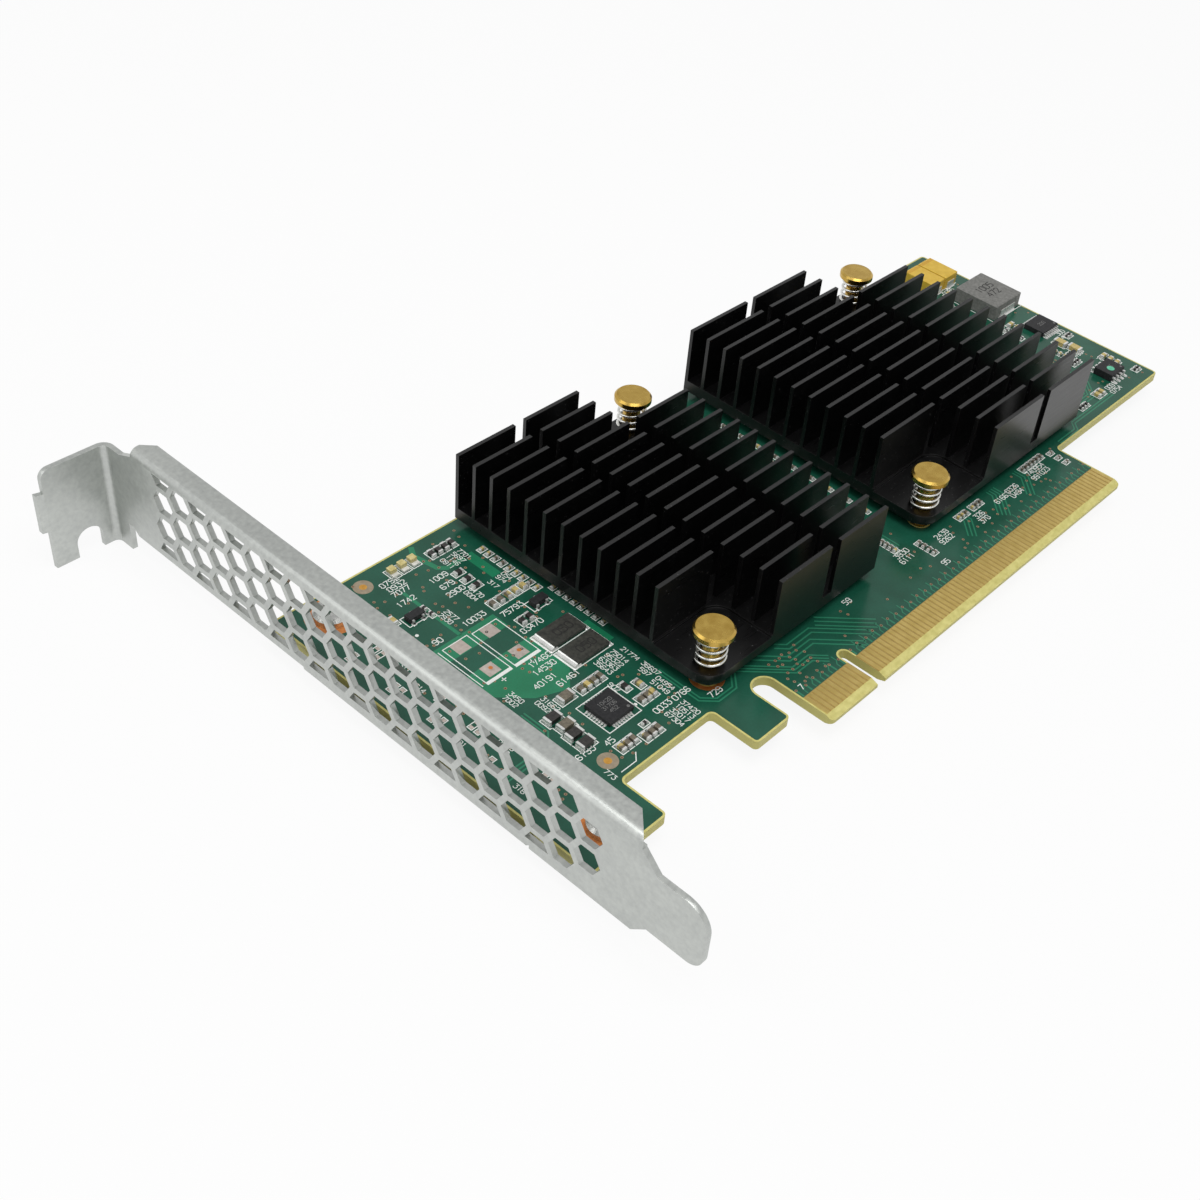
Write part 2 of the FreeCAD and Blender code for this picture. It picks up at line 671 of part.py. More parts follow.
def push_pin(number, spot):
    """A turned brass pin with a flat head and a split, barbed tip under the board."""
    body = doc.addObject("PartDesign::Body", "pin_body")
    place(body, (*spot, "0"))
    tip = "-dim.board_thick - dim.pin_tip_length"
    head_high = "dim.pin_head_height + dim.pin_head_thick"
    barb = "(dim.pin_shaft / 2 + dim.pin_barb_out)"
    collar = "(dim.spring_outside - 2 * dim.spring_wire - dim.pin_collar_clear)"
    half = sketch_on(body, "XZ_Plane", "pin_half")
    add_polygon(half, [
        ("0", tip),
        ("dim.pin_shaft / 2 - dim.pin_tip_in", tip),
        (barb, "-dim.board_thick - dim.pin_barb_edge"),
        (barb, "-dim.board_thick"),
        ("dim.pin_shaft / 2", "-dim.board_thick"),
        ("dim.pin_shaft / 2", "dim.pin_head_height - dim.pin_collar_height"),
        (collar + " / 2", "dim.pin_head_height - dim.pin_collar_height"),
        (collar + " / 2", "dim.pin_head_height"),
        ("dim.pin_head / 2", "dim.pin_head_height"),
        ("dim.pin_head / 2", head_high + " - dim.pin_head_chamfer"),
        ("dim.pin_head / 2 - dim.pin_head_chamfer", head_high),
        ("0", head_high),
    ])
    turned = body.newObject("PartDesign::Revolution", "pin_turned")
    turned.Profile = half
    turned.ReferenceAxis = (half, ["V_Axis"])
    turned.Angle = 360
    split = middle_box(
        "pin_split",
        (*spot, tip + " - " + OVERRUN),
        ("dim.pin_split", "2 * (%s + %s)" % (barb, OVERRUN), "dim.pin_tip_length + " + OVERRUN),
    )
    keep(cut("pin_cut", body, split), "push_pin_%d" % number)


def pin_spring(number, spot):
    """The coil spring between a pin's head and the heat sink's pad."""
    coil_radius = "(dim.spring_outside - dim.spring_wire) / 2"
    low = PAD_FLOOR + " + dim.spring_wire / 2 + dim.spring_clear"
    rise = "(dim.pin_head_height - %s - dim.spring_wire - 2 * dim.spring_clear)" % PAD_FLOOR
    coil = doc.addObject("Part::Helix", "coil")
    coil.setExpression("Radius", coil_radius)
    coil.setExpression("Height", rise)
    coil.setExpression("Pitch", "%s / dim.spring_turns" % rise)
    # One face for each turn
    coil.SegmentLength = 1
    place(coil, (*spot, low))
    wire = doc.addObject("Part::Circle", "wire_section")
    wire.setExpression("Radius", "dim.spring_wire / 2")
    wire.Placement = FreeCAD.Placement(FreeCAD.Vector(), FreeCAD.Rotation(FreeCAD.Vector(1, 0, 0), 90))
    place(wire, ("%s + %s" % (spot[0], coil_radius), spot[1], low))
    spring = doc.addObject("Part::Sweep", "spring")
    spring.Sections = [wire]
    spring.Spine = (coil, [])
    spring.Solid = True
    spring.Frenet = True
    keep(spring, "pin_spring_%d" % number)


def folded_sheet():
    """The bracket's sheet before the vents are cut."""
    body = doc.addObject("PartDesign::Body", "bracket_body")
    tab_back = "dim.screw_tab_y + dim.sheet_thick"
    plate = sketch_on(body, "YZ_Plane", "plate_outline", level=BRACKET_OUTER)
    add_polygon(plate, [
        ("dim.tongue_end", "dim.tongue_low"),
        ("dim.tongue_start", "dim.tongue_low"),
        ("dim.shoulder_start", "dim.shoulder_low"),
        ("dim.flange_start - dim.flange_relief", "dim.shoulder_low"),
        ("dim.flange_start - dim.flange_relief", PLATE_LOW),
        ("dim.flange_start", PLATE_LOW),
        ("dim.flange_start", FLANGE_LOW),
        (FLANGE_END, FLANGE_LOW),
        (FLANGE_END, PLATE_LOW),
        ("dim.neck_relief", PLATE_LOW),
        ("(dim.neck_relief + dim.neck_start) / 2", "0"),
        ("dim.neck_start", "0"),
        ("dim.neck_start", "dim.screw_tab_low"),
        (tab_back, "dim.screw_tab_low"),
        (tab_back, "dim.screw_tab_high"),
        ("dim.neck_start", "dim.screw_tab_high"),
        ("dim.fold_end", "(dim.screw_tab_high + dim.bracket_top) / 2"),
        ("dim.fold_end", "dim.bracket_top"),
        ("dim.fold_start", "dim.bracket_top"),
        ("dim.fold_start", "dim.shoulder_high"),
        ("dim.tongue_start - (dim.shoulder_high - dim.tongue_high) / 4", "dim.tongue_high"),
        ("dim.tongue_end", "dim.tongue_high"),
    ])
    pad(body, plate, "plate", "dim.sheet_thick")
    fold = sketch_on(body, "XY_Plane", "top_fold", level="dim.bracket_top")
    fold_edge = BRACKET_OUTER + " + dim.fold_width"
    add_polygon(fold, rectangle((BRACKET_OUTER, "dim.fold_start"), (fold_edge, "dim.fold_end")))
    pad(body, fold, "top_fold_pad", "dim.sheet_thick", backwards=True)
    flange = sketch_on(body, "XY_Plane", "board_flange", level="-dim.board_thick")
    ear_left = BRACKET_INNER + " + dim.ear_gap"
    ear_right = SCREW_X + " + dim.ear_half"
    strip = BRACKET_INNER + " + dim.flange_reach"
    add_polygon(flange, [
        (BRACKET_OUTER, "dim.flange_start"),
        (ear_left, "dim.flange_start"),
        (ear_left, "dim.screw_front_y - dim.ear_half"),
        (ear_right, "dim.screw_front_y - dim.ear_half"),
        (ear_right, "dim.screw_front_y + dim.ear_half"),
        (strip, "dim.flange_start + dim.ear_half"),
        (strip, FLANGE_END + " - dim.ear_half"),
        (ear_right, SCREW_BACK_Y + " - dim.ear_half"),
        (ear_right, SCREW_BACK_Y + " + dim.ear_half"),
        (ear_left, SCREW_BACK_Y + " + dim.ear_half"),
        (ear_left, FLANGE_END),
        (BRACKET_OUTER, FLANGE_END),
    ])
    pad(body, flange, "board_flange_pad", "dim.sheet_thick", backwards=True)
    tab = sketch_on(body, "XZ_Plane", "screw_tab", level="-dim.screw_tab_y")
    tab_edge = BRACKET_OUTER + " - dim.screw_tab_reach"
    add_polygon(tab, rectangle((tab_edge, "dim.screw_tab_low"), (BRACKET_INNER, "dim.screw_tab_high")))
    pad(body, tab, "screw_tab_pad", "dim.sheet_thick", backwards=True)
    lug = sketch_on(body, "XY_Plane", "lug", level="dim.lug_low")
    add_polygon(lug, [
        (tab_edge, "dim.screw_tab_y"),
        (tab_edge, tab_back),
        (tab_edge + " - dim.lug_reach", tab_back + " + dim.lug_lean"),
        (tab_edge + " - dim.lug_reach", "dim.screw_tab_y + dim.lug_lean"),
    ])
    pad(body, lug, "lug_pad", "dim.lug_high - dim.lug_low")
    doc.recompute()
    round_folds(body)
    cut_sheet(body, fold_edge, tab_edge)
    return body


def round_folds(body):
    """Give the three folds of the sheet their inside and outside radii."""
    thick = size("sheet_thick")
    outer = bracket_outer()
    inner = outer + thick
    top = size("bracket_top")
    low = -size("board_thick") - thick
    folds = [(outer, top), (outer, low)]
    fillet(body, "folds_outside", straight_edges(body.Tip.Shape, "y", folds), BEND_OUTSIDE)
    folds = [(inner, top - thick), (inner, low + thick)]
    fillet(body, "folds_inside", straight_edges(body.Tip.Shape, "y", folds), "dim.bend_inside")
    tab_front = size("screw_tab_y")
    crease = straight_edges(body.Tip.Shape, "z", [(inner, tab_front + thick)])
    fillet(body, "crease_outside", crease, "dim.screw_tab_bend + dim.sheet_thick")
    crease = straight_edges(body.Tip.Shape, "z", [(outer, tab_front)])
    fillet(body, "crease_inside", crease, "dim.screw_tab_bend")


def bracket_outer():
    """The X place of the bracket's outer face."""
    board = ("key_to_left", "slot_width", "tab_width", "recess_width", "foot_width")
    return -sum(size(width) for width in (*board, "bracket_gap", "sheet_thick"))


def cut_sheet(body, fold_edge, tab_edge):
    """Chamfer the top fold's ends, cut the screw notch and the screw holes, and round the corners."""
    chamfers = sketch_on(body, "XY_Plane", "fold_chamfers", level="dim.bracket_top + " + OVERRUN)
    for end, way, run in (
        ("dim.fold_start", "+", "dim.fold_start_chamfer"),
        ("dim.fold_end", "-", "dim.fold_end_chamfer"),
    ):
        add_polygon(chamfers, [
            (fold_edge, end),
            ("%s - %s" % (fold_edge, run), end),
            (fold_edge, "%s %s %s" % (end, way, run)),
        ])
    pocket(body, chamfers, "fold_chamfer_cut", OVERRUN + " + " + BEND_OUTSIDE)
    notch_x = BRACKET_OUTER + " - dim.notch_offset"
    notch_round = "dim.notch_top - dim.notch_width / 2"
    notch = sketch_on(body, "XZ_Plane", "notch_sides", level="-dim.screw_tab_y")
    add_polygon(notch, rectangle(
        (notch_x + " - dim.notch_width / 2", "dim.screw_tab_low - " + OVERRUN),
        (notch_x + " + dim.notch_width / 2", notch_round),
    ))
    pocket(body, notch, "notch_cut", "dim.sheet_thick")
    end = sketch_on(body, "XZ_Plane", "notch_round", level="-dim.screw_tab_y")
    add_circle(end, (notch_x, notch_round), "dim.notch_width")
    pocket(body, end, "notch_round_cut", "dim.sheet_thick")
    threads = sketch_on(body, "XY_Plane", "thread_holes", level="-dim.board_thick")
    for spot in screw_places():
        add_circle(threads, spot, "dim.screw_shank + dim.screw_thread_clear")
    pocket(body, threads, "thread_cut", "dim.sheet_thick")
    for end in ("high", "low"):
        spot = (size("tongue_end"), size("tongue_" + end))
        corner = straight_edges(body.Tip.Shape, "x", [spot])
        fillet(body, "tongue_%s_round" % end, corner, "dim.tongue_%s_corner" % end)
    spot = (bracket_outer() - size("screw_tab_reach"), size("screw_tab_high"))
    fillet(body, "tab_round", straight_edges(body.Tip.Shape, "y", [spot]), "dim.screw_tab_corner")


def honeycomb():
    """The hexagonal vents, in columns that are offset by half a pitch, cut off straight along two edges."""
    upright = FreeCAD.Rotation(FreeCAD.Vector(1, 1, 1), 120)
    columns = int(size("vent_columns"))
    vents = []
    for column in range(columns):
        if column == columns - 1:
            steps = (-0.5, 0.5)
        elif column % 2:
            steps = (-1, 0, 1)
        else:
            steps = (-1.5, -0.5, 0.5, 1.5)
        for step in steps:
            vent = doc.addObject("Part::Prism", "vent")
            vent.Polygon = 6
            vent.setExpression("Circumradius", "dim.vent_flat / sqrt(3)")
            vent.setExpression("Height", "dim.sheet_thick + 2 * " + OVERRUN)
            vent.Placement = FreeCAD.Placement(FreeCAD.Vector(), upright)
            vents.append(place(vent, (
                BRACKET_OUTER + " - " + OVERRUN,
                "dim.vent_first_y - %d * dim.vent_pitch * sqrt(3) / 2" % column,
                "dim.vent_mid + %g * dim.vent_pitch" % step,
            )))
    half_band = "(1.5 * dim.vent_pitch - dim.vent_margin)"
    band = box(
        "vent_band",
        (BRACKET_OUTER + " - " + OVERRUN, "dim.tongue_end", "dim.vent_mid - " + half_band),
        ("dim.sheet_thick + 2 * " + OVERRUN, "dim.screw_tab_y - dim.tongue_end", "2 * " + half_band),
    )
    field = doc.addObject("Part::Common", "vent_field")
    field.Base = group("vents", vents)
    field.Tool = band
    return field


def bracket_screws():
    """Two pan-head screws that pass through the board into the flange's ears."""
    screws = []
    for spot in screw_places():
        low = "%s - dim.screw_below" % FLANGE_LOW
        shank = cylinder("shank", (*spot, low), "dim.screw_shank", "-(%s)" % low)
        head = cylinder("head", (*spot, "0"), "dim.screw_head", "dim.screw_head_thick - dim.screw_dome")
        dome = doc.addObject("Part::Cone", "dome")
        dome.setExpression("Radius1", "dim.screw_head / 2")
        dome.setExpression("Radius2", "dim.screw_head / 2 - dim.screw_dome")
        dome.setExpression("Height", "dim.screw_dome")
        place(dome, (*spot, "dim.screw_head_thick - dim.screw_dome"))
        recess_low = "dim.screw_head_thick - dim.screw_recess"
        deep = "dim.screw_recess + " + OVERRUN
        sides = ("dim.screw_recess_length", "dim.screw_recess_width")
        arms = [
            middle_box("recess", (*spot, recess_low), (*sides, deep)),
            middle_box("recess", (*spot, recess_low), (*reversed(sides), deep)),
        ]
        screws.append(cut("screw", fuse("screw_blank", [shank, head, dome]), fuse("cross_recess", arms)))
    keep(group("screws", screws), "bracket_screws")


def end_terminals(middle, sides, axis):
    """Thin metal ends that cover the lower part of a moulded part's two end faces."""
    terminals = []
    for sign in ("+", "-"):
        spot = list(middle)
        spot[axis] = "%s %s ((%s) + dim.terminal_thick) / 2" % (middle[axis], sign, sides[axis])
        ends = list(sides)
        ends[axis] = "dim.terminal_thick"
        ends[1 - axis] = "dim.terminal_share * (%s)" % sides[1 - axis]
        ends[2] = "dim.terminal_share * (%s)" % sides[2]
        terminals.append(middle_box("terminal", spot, ends))
    return terminals


def power_parts():
    """The power inductor and the two tantalum capacitors, with their terminals."""
    spot = (from_edge("right", "dim.inductor_from_end"), share_y("dim.inductor_share"), "0")
    sides = ("dim.inductor_length", "dim.inductor_depth", "dim.inductor_height")
    keep(middle_box("inductor", spot, sides), "power_inductor")
    keep(group("inductor_ends", end_terminals(spot, sides, 1)), "inductor_terminals")
    terminals = []
    sides = ("dim.tantalum_width", "dim.tantalum_depth", "dim.tantalum_height")
    middle_x = from_edge("right", "dim.tantalum_from_end")
    for number, sign in ((1, "-"), (2, "+")):
        spot = ("%s %s dim.tantalum_pitch / 2" % (middle_x, sign), share_y("dim.tantalum_share"), "0")
        keep(middle_box("tantalum", spot, sides), "tantalum_capacitor_%d" % number)
        terminals += end_terminals(spot, sides, 1)
    keep(group("tantalum_ends", terminals), "tantalum_terminals")


def gull_lead(middle, sign, body_half, name):
    """A bent lead from a chip's side down to the board: shoulder, leg and foot."""
    across, along, _ = middle
    width = "dim.%s_lead_width" % name
    reach = "dim.%s_lead_reach" % name
    shoulder_z = "dim.%s_height / 2" % name
    thick = "dim.lead_thick"
    face = "%s %s %s" % (along, sign, body_half)
    shoulder = "%s %s (%s) / 4" % (face, sign, reach)
    leg = "%s %s ((%s) / 2 - %s / 2)" % (face, sign, reach, thick)
    foot = "%s %s (%s) * 3 / 4" % (face, sign, reach)
    return fuse("lead", [
        middle_box("shoulder", (across, shoulder, shoulder_z), (width, "(%s) / 2" % reach, thick)),
        middle_box("leg", (across, leg, "0"), (width, thick, "%s + %s" % (shoulder_z, thick))),
        middle_box("foot", (across, foot, "0"), (width, "(%s) / 2" % reach, thick)),
    ])


def leaded_chip(name, edge):
    """A moulded chip with a row of bent leads along its two long sides."""
    spot = (from_edge(edge, "dim.%s_from_end" % name), share_y("dim.%s_share" % name), "dim.chip_standoff")
    sides = ("dim.%s_length" % name, "dim.%s_depth" % name, "dim.%s_height - dim.chip_standoff" % name)
    keep(middle_box(name, spot, sides), name + "_chip")
    count = int(size(name + "_leads"))
    leads = []
    for sign in ("+", "-"):
        for step in range(count):
            across = "%s + (%g) * dim.%s_pitch" % (spot[0], step - (count - 1) / 2, name)
            leads.append(gull_lead((across, spot[1], "0"), sign, "dim.%s_depth / 2" % name, name))
    keep(group(name + "_lead_row", leads), name + "_leads")


def controller_chip():
    """A flat square chip that stands on a row of pads along each side."""
    spot = (from_edge("left", "dim.controller_from_left"), share_y("dim.controller_share"))
    side = "dim.controller_side"
    high = "dim.controller_height - dim.lead_thick"
    keep(middle_box("controller", (*spot, "dim.lead_thick"), (side, side, high)), "controller_chip")
    count = int(size("controller_pads"))
    long_side = "2 * dim.controller_pad_reach"
    pads = []
    for sign in ("+", "-"):
        for step in range(count):
            shift = "(%g) * dim.controller_pitch" % (step - (count - 1) / 2)
            out = "%s dim.controller_side / 2" % sign
            pads.append(middle_box(
                "pad",
                ("%s + %s" % (spot[0], shift), "%s %s" % (spot[1], out), "0"),
                ("dim.controller_pad_width", long_side, "dim.lead_thick"),
            ))
            pads.append(middle_box(
                "pad",
                ("%s %s" % (spot[0], out), "%s + %s" % (spot[1], shift), "0"),
                (long_side, "dim.controller_pad_width", "dim.lead_thick"),
            ))
    keep(group("controller_pad_ring", pads), "controller_pads")


def capped_chip(spot, axis, name):
    """A block with a metal cap at each end: gives the block and its two caps."""
    sides = ["", "", "dim.%s_height" % name]
    sides[axis] = "dim.%s_length - 2 * dim.%s_terminal" % (name, name)
    sides[1 - axis] = "dim.%s_width" % name
    caps = []
    for sign in ("+", "-"):
        place_of_cap = [*spot, "0"]
        place_of_cap[axis] = "%s %s (dim.%s_length - dim.%s_terminal) / 2" % (spot[axis], sign, name, name)
        cap_sides = list(sides)
        cap_sides[axis] = "dim.%s_terminal" % name
        caps.append(middle_box("cap", place_of_cap, cap_sides))
    return middle_box("chip", (*spot, "0"), sides), caps


def sense_resistors():
    """The two large flat resistors beside the front heat sink, each with a long and a short low metal end."""
    left = from_edge("left", "dim.sense_from_left") + " - dim.sense_length / 2"
    right = left + " + dim.sense_length"
    block_length = "dim.sense_length - dim.sense_near_terminal - dim.sense_far_terminal"
    ends = []
    for number in (1, 2):
        middle_y = "%s - %d * dim.sense_pitch" % (share_y("dim.sense_back_share"), number - 1)
        front = middle_y + " - dim.sense_width / 2"
        block = box(
            "sense_block",
            (left + " + dim.sense_near_terminal", front, "0"),
            (block_length, "dim.sense_width", "dim.sense_height"),
        )
        keep(block, "sense_resistor_%d" % number)
        for start, length in (
            (left, "dim.sense_near_terminal"),
            (right + " - dim.sense_far_terminal", "dim.sense_far_terminal"),
        ):
            end_sides = (length, "dim.sense_width", "dim.sense_terminal_height")
            ends.append(box("sense_end", (start, front, "0"), end_sides))
    keep(group("sense_ends", ends), "sense_terminals")


def transistors():
    """Two small transistors with one lead on one side and two on the other."""
    leads = []
    for name in TRANSISTORS:
        spot = (from_edge("left", "dim.%s_from" % name), share_y("dim.%s_share" % name))
        sides = ("dim.transistor_length", "dim.transistor_depth", "dim.transistor_height - dim.chip_standoff")
        keep(middle_box("transistor", (*spot, "dim.chip_standoff"), sides), name)
        for sign, shift in (("+", 0), ("-", -1), ("-", 1)):
            across = "%s + (%d) * dim.transistor_pitch" % (spot[0], shift)
            leads.append(gull_lead((across, spot[1], "0"), sign, "dim.transistor_depth / 2", "transistor"))
    keep(group("transistor_lead_set", leads), "transistor_leads")


def status_lights():
    """A row of small lights, each a clear lens on a base with two metal ends."""
    lenses = []
    bases = []
    for step in range(int(size("light_count"))):
        spot = (
            "%s + %d * dim.light_pitch" % (from_edge("left", "dim.light_from_left"), step),
            share_y("dim.light_share"),
        )
        base_sides = ("dim.light_width", "dim.light_length", "dim.light_base")
        bases.append(middle_box("base", (*spot, "0"), base_sides))
        lens_sides = ("dim.light_width", "dim.light_lens", "dim.light_height - dim.light_base")
        lens_spot = (spot[0], spot[1] + " + dim.light_lens_shift", "dim.light_base")
        lenses.append(middle_box("lens", lens_spot, lens_sides))
    keep(group("light_base_row", bases), "light_bases")
    keep(group("light_lens_row", lenses), "light_lenses")


def chip_spots(name, edge, long_axis, size_name, run="+X"):
    """The X and Y places of the parts of a named row, or of a single part."""
    first = [from_edge(edge, "dim.%s_from" % name), share_y("dim.%s_share" % name)]
    if name in SINGLE_CHIPS:
        return [first]
    way, axis = run
    side = "length" if axis == long_axis else "width"
    spots = []
    for step in range(int(size(name + "_count"))):
        spot = list(first)
        spot["XY".index(axis)] += " %s %d * (dim.%s_%s + dim.%s_gap)" % (way, step, size_name, side, name)
        spots.append(spot)
    return spots


def chip_parts():
    """All ceramic capacitors and chip resistors, and their terminals, as four groups."""
    blocks = {"capacitor": [], "resistor": []}
    caps = {"capacitor": [], "resistor": []}
    for name, (kind, size_name, long_axis, edge, _, _, *rest) in {**CHIP_ROWS, **SINGLE_CHIPS}.items():
        for spot in chip_spots(name, edge, long_axis, size_name, *rest[:1]):
            block, ends = capped_chip(spot, "XY".index(long_axis), size_name)
            blocks[kind].append(block)
            caps[kind] += ends
    keep(group("capacitor_blocks", blocks["capacitor"]), "ceramic_capacitors")
    keep(group("capacitor_caps", caps["capacitor"]), "capacitor_terminals")
    keep(group("resistor_blocks", blocks["resistor"]), "chip_resistors")
    keep(group("resistor_caps", caps["resistor"]), "resistor_terminals")


def write_nodes():
    """Check every object and every sub-part, then write one file for each sub-part."""
    doc.recompute()
    for obj in doc.Objects:
        if "Invalid" in obj.State or "Error" in obj.State:
            raise RuntimeError("%s (%s) failed" % (obj.Name, obj.Label))
    for obj in nodes:
        if obj.Shape.isNull() or not obj.Shape.isValid():
            raise RuntimeError(obj.Label + " has no valid shape")
    os.makedirs("parts", exist_ok=True)
    for obj in nodes:
        obj.Shape.exportStep("parts/%s.step" % obj.Label)


circuit_board()
contact_fingers()
heat_sinks()
for pin_number, pin_spot in enumerate(pin_places(), start=1):
    push_pin(pin_number, pin_spot)
    pin_spring(pin_number, pin_spot)
keep(cut("bracket_cut", folded_sheet(), honeycomb()), "bracket")
bracket_screws()
power_parts()
leaded_chip("regulator", "right")
leaded_chip("memory", "right")
controller_chip()
sense_resistors()
transistors()
status_lights()
chip_parts()
write_nodes()
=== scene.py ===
import json
import math
import random

import bmesh
import bpy
from mathutils import Matrix, Vector


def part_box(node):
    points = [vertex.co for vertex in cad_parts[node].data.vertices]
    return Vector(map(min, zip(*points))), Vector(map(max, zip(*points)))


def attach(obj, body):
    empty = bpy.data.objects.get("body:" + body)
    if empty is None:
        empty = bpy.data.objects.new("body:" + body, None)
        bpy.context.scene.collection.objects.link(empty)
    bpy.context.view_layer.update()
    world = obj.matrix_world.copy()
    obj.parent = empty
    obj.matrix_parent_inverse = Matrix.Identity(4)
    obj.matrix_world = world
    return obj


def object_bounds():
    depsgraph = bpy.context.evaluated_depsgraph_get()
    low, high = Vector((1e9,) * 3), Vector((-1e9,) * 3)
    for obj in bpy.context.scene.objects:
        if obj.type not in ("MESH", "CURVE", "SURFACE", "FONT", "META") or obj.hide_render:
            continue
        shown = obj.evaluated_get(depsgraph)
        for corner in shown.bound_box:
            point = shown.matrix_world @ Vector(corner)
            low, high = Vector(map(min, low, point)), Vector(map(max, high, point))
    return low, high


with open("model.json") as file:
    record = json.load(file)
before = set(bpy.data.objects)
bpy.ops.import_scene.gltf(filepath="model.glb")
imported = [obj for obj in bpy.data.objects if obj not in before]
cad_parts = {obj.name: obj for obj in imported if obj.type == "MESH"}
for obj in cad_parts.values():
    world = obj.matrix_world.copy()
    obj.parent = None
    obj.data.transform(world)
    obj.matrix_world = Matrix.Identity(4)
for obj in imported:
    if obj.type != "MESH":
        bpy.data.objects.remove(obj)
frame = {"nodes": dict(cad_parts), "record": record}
cad_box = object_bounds()

# Lengths are millimetres in the card's frame unless a comment says otherwise: X along the card, Y from the
# connector's edge to the back edge, Z up from the board's component side.
MM = 0.001
SEED = 11

# Points closer together than this are joined
WELD_GAP = 0.001

# Heights of the finishes on the board, above its face
MASK_HIGH = 0.02
POUR_HIGH = 0.024
TRACE_HIGH = 0.03
PLATING_HIGH = 0.04
PRINT_HIGH = 0.05

# Heights of the marks and the label on the parts, above their tops
MARK_HIGH = 0.012
LABEL_HIGH = 0.03

# The mask stays clear of the board's edges and of the contacts
MASK_INSET = 0.32
MASK_CONTACT_EDGE = 5.75

# The connector's ends, and the depth of its bevelled edge
CONNECTOR_LEFT = -12.15
CONNECTOR_RIGHT = 72.15
BEVEL_RUN = 1.3

# Where the far end of the board begins, past the rear heat sink
FAR_END = 84.0

BOARD_LOW, BOARD_HIGH = (Vector(corner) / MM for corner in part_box("circuit_board"))

# The floor lies at the card's lowest point, in metres
FLOOR_LEVEL = Vector(cad_box[0]).z


def srgb(red, green, blue):
    """A linear colour from display values of 0 to 255."""
    parts = []
    for value in (red, green, blue):
        share = value / 255
        parts.append(share / 12.92 if share <= 0.04045 else ((share + 0.055) / 1.055) ** 2.4)
    return (*parts, 1.0)


# Materials


class Nodes:
    """A node tree whose nodes are added by short calls."""

    def __init__(self, tree):
        self.tree = tree

    def feed(self, socket, value):
        """Connect an input, or set it to a constant."""
        if isinstance(value, bpy.types.NodeSocket):
            self.tree.links.new(value, socket)
        else:
            socket.default_value = value

    def node(self, kind, inputs=None, **settings):
        """Add a node with its settings and inputs."""
        made = self.tree.nodes.new("ShaderNode" + kind)
        for name, value in settings.items():
            setattr(made, name, value)
        for socket, value in (inputs or {}).items():
            self.feed(made.inputs[socket], value)
        return made

    def spread(self, value, start, end, low=0.3, high=0.7):
        """Map a range of values onto another. Unless it is given, it is where soft noise mostly lies."""
        inputs = {"Value": value, "From Min": low, "From Max": high, "To Min": start, "To Max": end}
        return self.node("MapRange", inputs).outputs["Result"]

    def calculate(self, operation, first, second):
        """The result of an operation on two values."""
        return self.node("Math", {0: first, 1: second}, operation=operation).outputs[0]

    def seen_share(self):
        """1 for the rays that see the background: camera, glossy and transmission rays."""
        rays = self.node("LightPath").outputs
        share = self.calculate("MAXIMUM", rays["Is Camera Ray"], rays["Is Glossy Ray"])
        return self.calculate("MAXIMUM", share, rays["Is Transmission Ray"])


class Paint(Nodes):
    """A material whose textures are measured in millimetres."""

    def __init__(self, name, constants):
        self.material = bpy.data.materials.new(name)
        self.material.use_nodes = True
        super().__init__(self.material.node_tree)
        self.shader = self.tree.nodes["Principled BSDF"]
        for socket, value in constants.items():
            self.shader.inputs[socket].default_value = value
        self.place = self.node("TexCoord").outputs["Object"]

    def millimetres(self, stretch=(1, 1, 1), middle=(0, 0, 0)):
        """Places on the object in millimetres, stretched about a point."""
        scale = [1 / MM * part for part in stretch]
        shift = [-part * along for part, along in zip(middle, stretch)]
        mapping = self.node("Mapping", {"Vector": self.place, "Scale": scale, "Location": shift})
        return mapping.outputs["Vector"]

    def noise(self, grain, detail=4, stretch=(1, 1, 1)):
        """Soft noise with a number of lumps to the millimetre."""
        inputs = {"Vector": self.millimetres(stretch), "Scale": grain, "Detail": detail}
        return self.node("TexNoise", inputs).outputs["Fac"]

    def mix(self, share, first, second):
        """One colour turning into another."""
        return self.node("Mix", {0: share, 6: first, 7: second}, data_type="RGBA").outputs[2]

    def together(self, share, first, second):
        """Two values added up, with a share of the first and the rest of the second."""
        return self.calculate("ADD", self.calculate("MULTIPLY", first, share),
                              self.calculate("MULTIPLY", second, 1 - share))

    def between(self, value, low, high):
        """1 where a value lies between two limits, 0 elsewhere."""
        above = self.calculate("GREATER_THAN", value, low)
        below = self.calculate("LESS_THAN", value, high)
        return self.calculate("MULTIPLY", above, below)

    def axes(self):
        """The three coordinates in millimetres."""
        return self.node("SeparateXYZ", {"Vector": self.millimetres()}).outputs

    def facing(self, axis):
        """How far the surface faces along an axis, from -1 to 1."""
        normal = self.node("NewGeometry").outputs["True Normal"]
        return self.node("SeparateXYZ", {"Vector": normal}).outputs[axis]

    def finish(self, colour, roughness, height, depth):
        """Connect the colour, the roughness and the bump."""
        bump = self.node("Bump", {"Height": height, "Distance": depth * MM, "Strength": 1.0})
        self.feed(self.shader.inputs["Base Color"], colour)
        self.feed(self.shader.inputs["Roughness"], roughness)
        self.feed(self.shader.inputs["Normal"], bump.outputs["Normal"])
        return self.material


# How many times finer the fine noise of a mottled surface is than its patches
FINER = 5


def mottled(name, dark, light, grain, roughness, depth, constants=None):
    """A surface whose colour, between two display colours, gloss and height vary with soft noise."""
    paint = Paint(name, constants or {})
    patches = paint.noise(grain)
    fine = paint.noise(grain * FINER)
    colour = paint.mix(paint.spread(patches, 0, 1), srgb(*dark), srgb(*light))
    return paint.finish(colour, paint.spread(fine, *roughness), fine, depth)


# A face is upright if its normal's Z is nearer to 0 than this
UPRIGHT_NORMAL = 0.5

